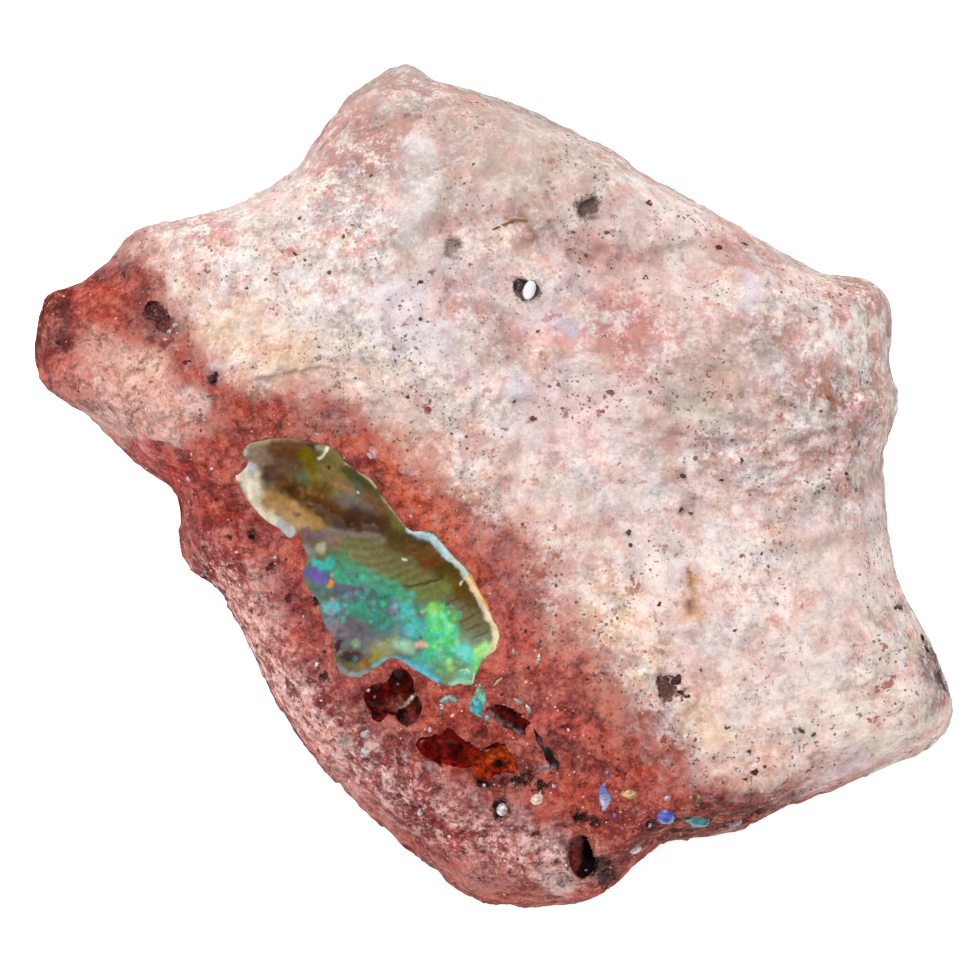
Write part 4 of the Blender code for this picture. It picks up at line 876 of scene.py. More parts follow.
# Down the sides the band and the stains wander more, and only the broad stains go on, through the rock.
below = top_faces(x, y) - z
for size, far in SIDE_SWAY:
    push = np.array([noise.noise_vector(spot / size)[:2] for spot in spots])
    drift = drift + far * np.clip((below - SIDE_FROM) / SIDE_FADE, 0, 1) * push.T
on_face = np.clip(1 - (below - SIDE_FROM) / SIDE_FADE, 0, 1)
edge = beside(RED_EDGE, x + drift[0] + (LEAN_FROM - z) * BAND_LEAN, y + drift[1])
size, weakening, far = BAND_SPECKLE
edge += far * np.array([noise.fractal(spot / size, weakening, *FRACTAL[1:]) for spot in spots])
red = np.clip(RED_START - edge / RED_WIDTH, 0, 1)
fringe = np.exp(-((edge / FRINGE) ** 2))
steps, codes = zip(*BAND)
tone = np.column_stack([np.interp(edge, steps, part) for part in zip(*map(tint, codes))])
broad_stains = [stroke for stroke in STAINS if stroke[1] >= BROAD_STAIN]
through = paint(tone, x, y, broad_stains, drift * STAIN_SWAY)
tone = paint(tone, x, y, STAINS, drift * STAIN_SWAY)
tone = paint(tone, x, y, FRAGMENTS, drift * FRAGMENT_SWAY)
tone = through + (tone - through) * on_face[:, None]
bare_fragments = [("#FFFFFF", *stroke[1:]) for stroke in FRAGMENTS]
plain = paint(np.zeros((len(x), 3)), x, y, bare_fragments, drift * FRAGMENT_SWAY)[:, 0] * on_face
# Painted shade darkens the crevices to a brownish pink, and painted light makes raised grains paler.
tone *= 1 - np.clip(-relief * RELIEF_SHADING, 0, MOST_PAINTED_SHADE)[:, None] * SHADE_TINT
tone *= np.clip(1 + RELIEF_SHADING * relief, 1, MOST_PAINTED_LIGHT)[:, None]
# Painted shade along the widest edge, where the surface turns away from the light.
tone *= 1 - RIM_SHADE_SHARE * np.clip(1 - from_rim / RIM_SHADE, 0, 1)[:, None]
# How strongly each kind of marking shows: dark crystals, crushed pale grains, mottling, and the red's.
patch_x, patch_y, radius = DUSTY_PATCH
patch = np.exp(-((np.hypot(x - patch_x, y - patch_y) / radius) ** 2))
dots = np.clip(0.6 + lumpy(x, y, DOT_CLUSTERS) + 0.4 * fringe, 0.1, 1) * (1 - 0.5 * patch)
dusty = np.maximum(np.exp(-((beside(DUSTY_RIM, x, y) / DUSTY_WIDTH) ** 2)), 0.5 * patch) * red
mottled = 0.93 + lumpy(x, y, MOTTLING)
for smooth_x, smooth_y, radius, share in SMOOTH_PATCHES:
    mottled -= share * np.exp(-((np.hypot(x - smooth_x, y - smooth_y) / radius) ** 2))
rough_x, rough_y, radius, share = ROUGH_PATCH
mottled += share * np.exp(-((np.hypot(x - rough_x, y - rough_y) / radius) ** 2))
bleached = (1 - red) * np.clip(mottled, 0.5, 1.3) * (1 - 0.55 * plain)
red *= 1 - 0.3 * patch
ragged = wander(x, y, PIT_EDGE)
pit, pit_tone = np.zeros(len(x)), tone.copy()
for px, py, radius, _, code in PITS:
    under = (z - stone_height(np.array([px]), np.array([py]))[0]) * PIT_SHAPE
    away = np.sqrt((x + ragged[0] - px) ** 2 + (y + ragged[1] - py) ** 2 + under**2)
    share = np.clip(PIT_STAIN - away / radius, 0, 1)
    pit_tone[share > pit] = tint(code)
    pit = np.maximum(pit, share * on_face)


def in_millimetres(tree):
    """A point's own place in the stone's frame, in millimetres."""
    place = add(tree, "TexCoord").outputs["Object"]
    return add(tree, "VectorMath", {"operation": "SCALE"}, {0: place, "Scale": 1 / MM}).outputs[0]


def clouded(tree, colour, scale, detail, fineness, low, high, dark, light, share=1.0):
    """A colour under soft clouds, from the dark tint where they are thin to the light one."""
    pattern = {"Vector": in_millimetres(tree), "Scale": scale, "Detail": detail, "Roughness": fineness}
    cloud = add(tree, "TexNoise", {}, pattern).outputs["Fac"]
    cloud = add(tree, "MapRange", {}, {"Value": cloud, "From Min": low, "From Max": high}).outputs[0]
    ends = {6: solid(dark), 7: solid(light)}
    shade = add(tree, "Mix", {"data_type": "RGBA"}, {0: cloud, **ends}).outputs[2]
    multiply = {"data_type": "RGBA", "blend_type": "MULTIPLY"}
    return add(tree, "Mix", multiply, {0: share, 6: colour, 7: shade}).outputs[2]


# Broken rhyolite is dry stone with a fine grain, dull all over, with hardly any sheen to the eye.
rhyolite, tree, shader = new_material("broken_rhyolite", 0.82, 0.15)
millimetres = in_millimetres(tree)
colour = add(tree, "Attribute", {"attribute_name": "tone"}).outputs["Color"]
redness, paleness, dustiness, density = (
    add(tree, "Attribute", {"attribute_name": mark}).outputs["Fac"]
    for mark in ("red", "bleached", "dusty", "dots")
)
FINEST_GRAIN = 9.0  # grains a millimetre in the clouds' finest layer
CLOUD_DENSE, CLOUD_THIN = 0.64, 0.36  # how dense a cloud is where its colours are whole
# Cloudy staining and the fine crystals of the lava. Each cloud swings the colour one way where it is
# dense and the other way where it is thin: its size in clouds a millimetre, how strong its finest
# detail is, its share, and the two colours. The finest grain is drawn at some 0.1 mm, to show at all.
for where, scale, fineness, share, dense, thin in [
    (paleness, 0.55, 0.74, 0.8, "#D8988E", "#D2CCC8"),
    (paleness, 0.6, 0.75, 0.25, "#E8D0A8", "#D8CEE4"),
    (paleness, 0.9, 0.97, 0.6, "#FCF4F0", "#A08680"),
    (redness, 0.45, 0.8, 0.75, "#BC4A34", "#8C4C48"),
    (redness, 1.0, 0.92, 0.75, "#CC7C6A", "#401414"),
    (dustiness, 0.6, 0.8, 0.7, "#D8A8A0", "#8A3836"),
    (dustiness, 1.2, 0.97, 0.9, "#F0CEC8", "#542020"),
]:
    shift = (scale * 31, fineness * 70, share)  # so that no two clouds are alike
    place = add(tree, "VectorMath", {"operation": "ADD"}, {0: millimetres, 1: shift}).outputs[0]
    pattern = {"Scale": scale, "Detail": math.log2(FINEST_GRAIN / scale), "Roughness": fineness}
    cloud = add(tree, "TexNoise", {}, {"Vector": place, **pattern}).outputs["Fac"]
    for code, limit in ((dense, CLOUD_DENSE), (thin, CLOUD_THIN)):
        patch = {"Value": cloud, "From Min": 0.5, "From Max": limit, "To Max": share}
        patch = add(tree, "MapRange", {}, patch).outputs[0]
        patch = add(tree, "Math", {"operation": "MULTIPLY"}, {0: patch, 1: where}).outputs[0]
        mixed = {0: patch, 6: colour, 7: solid(code)}
        colour = add(tree, "Mix", {"data_type": "RGBA"}, mixed).outputs[2]
# Iron-brown marks gather in places: their number a millimetre, how dense the cloud is there, colour.
for scale, least, code in [(1.1, 0.63, "#9A4A3C"), (1.9, 0.635, "#63342C"), (3.2, 0.635, "#4E2E2A")]:
    shift = (scale * 17, 5.0, least)
    place = add(tree, "VectorMath", {"operation": "ADD"}, {0: millimetres, 1: shift}).outputs[0]
    pattern = {"Vector": place, "Scale": scale, "Detail": 5.0, "Roughness": 0.6}
    cloud = add(tree, "TexNoise", {}, pattern)
    patch = {"Value": cloud.outputs["Fac"], "From Min": least, "From Max": least + 0.03, "To Max": 0.85}
    patch = add(tree, "MapRange", {}, patch).outputs[0]
    patch = add(tree, "Math", {"operation": "MULTIPLY"}, {0: patch, 1: density}).outputs[0]
    colour = add(tree, "Mix", {"data_type": "RGBA"}, {0: patch, 6: colour, 7: solid(code)}).outputs[2]
# The pits are painted in their listed colours, which end in a ragged line, with a thinner stain round
# it.
pattern = {"Vector": millimetres, "Scale": 5.0, "Detail": 4.0, "Roughness": 0.7}
cloud = add(tree, "TexNoise", {}, pattern)
pit_share = add(tree, "Attribute", {"attribute_name": "pit"}).outputs["Fac"]
edge_share = {0: cloud.outputs["Fac"], 1: 2.8, 2: pit_share}
share = add(tree, "Math", {"operation": "MULTIPLY_ADD"}, edge_share).outputs[0]
pit_colour = add(tree, "Attribute", {"attribute_name": "pit_tone"}).outputs["Color"]
pattern = {"Vector": millimetres, "Scale": 9.0, "Detail": 2.0, "Roughness": 0.7}
flecks = add(tree, "TexNoise", {}, pattern)
flecks = {"Value": flecks.outputs["Fac"], "From Min": 0.5, "From Max": 0.7, "To Max": 0.45}
flecks = add(tree, "MapRange", {}, flecks).outputs[0]
pit_colour = add(tree, "Mix", {"data_type": "RGBA"}, {0: flecks, 6: pit_colour, 7: solid("#A8847C")}).outputs[2]
for least, most in ((1.54, 0.5), (1.86, 0.95)):
    part = {"Value": share, "From Min": least, "From Max": least + 0.16, "To Max": most}
    part = add(tree, "MapRange", {}, part).outputs[0]
    colour = add(tree, "Mix", {"data_type": "RGBA"}, {0: part, 6: colour, 7: pit_colour}).outputs[2]
# Single dark and light crystals and pinholes, a random size and colour in each cell.
ragged = add(tree, "TexNoise", {}, {"Vector": millimetres, "Scale": 4.0, "Detail": 2.0})
ragged = add(tree, "VectorMath", {"operation": "SCALE"}, {0: ragged.outputs["Color"], "Scale": 0.14})
ragged = {0: millimetres, 1: ragged.outputs[0]}
ragged = add(tree, "VectorMath", {"operation": "ADD"}, ragged).outputs[0]
for where, scale, least, most, first, lit_colour, share in [
    (density, 1.3, 0.76, 0.2, "#3A2220", "#8C4A40", 0.9),
    (density, 2.2, 0.66, 0.3, "#4A2E2C", "#905C54", 0.85),
    (density, 3.6, 0.62, 0.38, "#4A302C", "#96706A", 0.85),
    (density, 5.2, 0.6, 0.42, "#5A3C38", "#98786F", 0.7),
    (redness, 1.9, 0.76, 0.2, "#F8ECE6", "#E2B4AA", 0.8),
    (redness, 4.3, 0.8, 0.3, "#F0DCD4", "#D8A8A0", 0.75),
    (dustiness, 2.2, 0.62, 0.32, "#FFF8F4", "#E8C0B8", 0.85),
    (redness, 2.6, 0.72, 0.3, "#2A0C10", "#5A1A1C", 0.85),
]:
    cells = add(tree, "TexVoronoi", {}, {"Vector": ragged, "Scale": scale}).outputs
    draw = add(tree, "SeparateColor", {}, {0: cells["Color"]}).outputs
    radius = add(tree, "MapRange", {}, {"Value": draw[0], "From Min": least, "To Max": most}).outputs[0]
    radius = add(tree, "Math", {"operation": "MULTIPLY"}, {0: radius, 1: where}).outputs[0]
    inside = add(tree, "Math", {"operation": "SUBTRACT"}, {0: radius, 1: cells["Distance"]}).outputs[0]
    inside = add(tree, "MapRange", {}, {"Value": inside, "From Max": 0.06, "To Max": share}).outputs[0]
    ends = {6: solid(first), 7: solid(lit_colour)}
    crystal = add(tree, "Mix", {"data_type": "RGBA"}, {0: draw[1], **ends}).outputs[2]
    colour = add(tree, "Mix", {"data_type": "RGBA"}, {0: inside, 6: colour, 7: crystal}).outputs[2]
tree.links.new(colour, shader.inputs["Base Color"])
coarse_grain = {"Vector": millimetres, "Scale": 2.4, "Detail": 6.0, "Roughness": 0.7}
coarse_grain = add(tree, "TexNoise", {}, coarse_grain)
GRAIN_DEPTH = 0.22
rough = {"Strength": 0.7, "Distance": GRAIN_DEPTH * MM, "Height": coarse_grain.outputs["Fac"]}
bump = add(tree, "Bump", {}, rough)
tree.links.new(bump.outputs[0], shader.inputs["Normal"])
stone_faces = BVHTree.FromBMesh(stone)
add_piece(
    "rhyolite_stone", stone, rhyolite, "rhyolite", ["rhyolite_matrix"],
    tone=tone, red=red, bleached=bleached, dusty=dusty, dots=dots, pit=pit, pit_tone=pit_tone,
)  # fmt: skip

# Coarser crystals and crumbs stand out singly in the broken face, each bedded flush in it.
CRYSTALS = [  # x, y, half length, half width, turn, colour
    # the pale rock
    (7.45, 10.3, 0.16, 0.12, 20, "#5A4A3A"), (11.1, 11.9, 0.16, 0.12, 0, "#7A3A30"),
    (-3.75, 10.05, 0.18, 0.1, 10, "#5A3A34"), (-3.4, 3.8, 0.16, 0.12, 0, "#B0503C"),
    (12.3, 12.1, 0.34, 0.07, -15, "#5A444C"), (7.6, 14.05, 0.2, 0.13, -30, "#9A3E34"),
    (2.1, 7.68, 0.14, 0.1, 40, "#8A4038"), (1.85, 3.33, 0.16, 0.11, 0, "#7E3A30"),
    (12.2, 1.28, 0.16, 0.13, 10, "#3E302C"), (9.3, 0.48, 0.15, 0.1, -40, "#4A3834"),
    (11.2, 0.28, 0.1, 0.08, 0, "#4A3834"), (9.2, -1.23, 0.13, 0.09, 60, "#4E3C38"),
    (9.7, -1.38, 0.1, 0.07, 0, "#54403C"), (6.6, -2.33, 0.15, 0.09, 80, "#5A4440"),
    (6.7, -2.98, 0.1, 0.08, 0, "#4A3430"), (5.4, 7.4, 0.12, 0.1, 0, "#6A4A46"),
    (5.5, 12.6, 0.14, 0.1, 30, "#7A5A52"), (-3.8, 8.3, 0.15, 0.1, -20, "#5A3A38"),
    (-6.2, 15.4, 0.1, 0.08, 0, "#6E5450"), (-1.1, 16.0, 0.09, 0.07, 0, "#6E5450"),
    (-0.2, 13.9, 0.1, 0.08, 0, "#8A5A50"), (0.9, 4.2, 0.1, 0.07, 50, "#6A3A36"),
    (-5.0, 6.2, 0.12, 0.08, -30, "#7A4A44"), (-8.3, 10.6, 0.12, 0.08, 0, "#6A504C"),
    (-9.8, 13.3, 0.11, 0.07, 60, "#54403E"), (-10.0, 11.5, 0.13, 0.06, -50, "#4A3836"),
    (-9.5, 11.2, 0.12, 0.05, -50, "#4A3836"), (-12.4, 9.8, 0.09, 0.07, 0, "#6A504C"),
    (-7.6, 12.4, 0.1, 0.07, 0, "#8A5A52"), (14.2, 9.6, 0.12, 0.09, 0, "#7A3A36"),
    (15.6, 8.1, 0.1, 0.08, 0, "#7A4440"), (16.5, 4.3, 0.17, 0.1, 60, "#B4503A"),
    (16.1, 3.7, 0.12, 0.09, 0, "#8A3A30"), (17.4, 0.6, 0.13, 0.09, 30, "#4A3632"),
    (16.3, -0.1, 0.1, 0.08, 0, "#5A4440"), (13.2, -3.4, 0.1, 0.07, 0, "#6A4A44"),
    (8.1, -5.9, 0.16, 0.12, 0, "#6E3E38"), (11.9, -7.2, 0.12, 0.09, 0, "#8A4A42"),
    (15.2, -12.2, 0.2, 0.08, -30, "#5A4440"), (15.8, -12.4, 0.14, 0.06, 40, "#5A4440"),
    (19.9, -6.1, 0.16, 0.11, 50, "#4A3430"), (12.6, -13.2, 0.12, 0.1, 0, "#6A2E2E"),
    (11.5, -12.0, 0.12, 0.1, 0, "#6E3A38"), (10.2, -9.2, 0.1, 0.08, 0, "#7A4A44"),
    (6.2, -9.4, 0.1, 0.08, 0, "#6E3A36"), (-4.4, 4.4, 0.12, 0.1, 0, "#7A3A34"),
    (-2.2, 2.6, 0.1, 0.08, 0, "#8A4038"), (-8.8, 6.9, 0.1, 0.08, 0, "#8A4A40"),
    (-0.1, 12.75, 0.4, 0.06, 25, "#7A4A38"), (0.6, 13.05, 0.42, 0.07, 22, "#94603E"),
    (1.3, 13.2, 0.34, 0.05, -2, "#A8744C"),
    # cream and white crumbs
    (0.1, 12.25, 0.24, 0.14, 40, "#F2DFC8"), (-0.5, 11.95, 0.12, 0.08, 0, "#F4E6D8"),
    (-16.0, 8.0, 0.14, 0.1, 20, "#DCCABC"), (-16.3, 7.7, 0.1, 0.08, 0, "#D4B8A8"),
    (-15.9, 7.6, 0.09, 0.07, 0, "#E4D4C8"), (-16.5, 7.3, 0.1, 0.07, 0, "#E0C8BC"),
    # the red band
    (-18.6, 10.5, 0.24, 0.1, -65, "#54382E"), (-21.8, 7.2, 0.3, 0.16, 0, "#5A2426"),
    (-15.4, 6.1, 0.24, 0.12, -10, "#4A1E34"), (-14.1, 5.3, 0.24, 0.13, -30, "#4A1E36"),
    (-12.1, -2.4, 0.16, 0.1, -30, "#3A1012"), (-13.3, -2.5, 0.12, 0.09, 0, "#4A1416"),
    (2.7, -14.35, 0.14, 0.1, 30, "#2A0C0A"), (9.0, -9.7, 0.3, 0.2, 20, "#5E2E2C"),
    (9.5, -10.5, 0.16, 0.1, 0, "#3E1A18"), (1.6, -9.1, 0.12, 0.09, 0, "#3A1214"),
    (3.3, -12.0, 0.1, 0.08, 0, "#3A1012"), (4.6, -12.6, 0.1, 0.08, 0, "#4A1A1A"),
    (12.9, -14.3, 0.2, 0.14, 30, "#5A2226"), (13.4, -14.0, 0.12, 0.09, 0, "#4A1C20"),
    (12.4, -14.6, 0.12, 0.08, 0, "#5A2428"), (21.3, -7.6, 0.22, 0.1, -60, "#3E1E1A"),
    (21.5, -8.2, 0.18, 0.12, -70, "#3A1816"), (-8.3, 0.9, 0.1, 0.08, 0, "#5A1A18"),
]  # fmt: skip


def bed_in(bm, divided, x, y, half_length, half_width, half_height, turn, rise):
    """Adds a flattened ball to a mesh, bedded in the rock so that it stands out by its rise."""
    before = len(bm.verts)
    bmesh.ops.create_icosphere(bm, subdivisions=divided, radius=1.0)
    fresh = list(bm.verts)[before:]
    place, up, *_ = stone_faces.ray_cast(Vector((x, y, 40)) * MM, Vector((0, 0, -1)))
    place.z = max(place.z, float(stone_height(np.array([x]), np.array([y]))[0]) * MM)
    up = (up + 2 * Vector((0, 0, 1))).normalized()
    placing = (
        Matrix.Translation(place + up * (rise - half_height) * MM)
        @ Vector((0, 0, 1)).rotation_difference(up).to_matrix().to_4x4()
        @ Matrix.Rotation(math.radians(turn), 4, "Z")
        @ Matrix.Diagonal(Vector((half_length, half_width, half_height, 1 / MM)) * MM)
    )
    bmesh.ops.transform(bm, matrix=placing, verts=fresh)
    return fresh


def roughen(verts, half_width, lumps, uneven):
    """Makes points uneven by this share of a half width, with so many lumps a millimetre."""
    for v in verts:
        v.co += Vector(noise.noise_vector(v.co / MM * lumps)) * half_width * uneven * MM


crystals = bmesh.new()
tones = []
for px, py, half_length, half_width, turn, code in CRYSTALS:
    fresh = bed_in(crystals, 2, px, py, half_length, half_width, half_width * 0.6, turn, 0.04)
    roughen(fresh, half_width, 8.0, 1.1)
    tones += [tint(code)] * len(fresh)
# Single crystals stained by iron are a little glossier than the rock, so some of them glint.
crystal_stone, tree, shader = new_material("iron_stained_crystal", 0.5, 0.3)
colour = add(tree, "Attribute", {"attribute_name": "tone"}).outputs["Color"]
colour = clouded(tree, colour, 6.0, 3.0, 0.5, 0.0, 1.0, "#A09898", "#FFFFFF")
tree.links.new(colour, shader.inputs["Base Color"])
add_piece("rock_crystals", crystals, crystal_stone, "rhyolite", tone=np.array(tones))


# ---- Precious opal lens ----------------------------------------------------------------------------
# Opal that filled a long hollow and then broke out in two shell-like scoops, so its pale rim stands
# round a smooth dish. The glass is clear olive-brown above, and flashes green, blue and violet below,
# where its silica balls lie in even layers.

GRID_STEP = 0.045
LENS_LIP = 0.04  # how far its rim stands over the rock
SCOOP_WALL = 0.7  # how far in from the rim the scoop's wall eases into its floor
SCOOP_DEPTHS = [(-9.4, 0.5, 2.6, 0.9), (-4.0, -6.0, 3.4, 1.2)]  # x, y, radius, depth
SADDLE = [(-9.9, -2.3), (-7.9, -2.4), (-6.6, -2.6), (-5.2, -3.2)]
RIPPLE_CENTRE = (-6.9, 3.1)
RIPPLE_REACH = (5.2, 9.8)  # the distances from it between which the ripples show
RIPPLE_SPACING, RIPPLE_HEIGHT = 0.42, 0.009
SCOOP_FLOOR = 0.4  # depth that both scoops have apart from their own
SADDLE_WIDTH, SADDLE_RISE = 0.6, 0.25
EDGE_UNDER = 0.16  # how far the opal runs on under the rock's edge
LENS_BODY = 0.35  # how thick it is under its lowest place
OPAL_IOR = 1.45

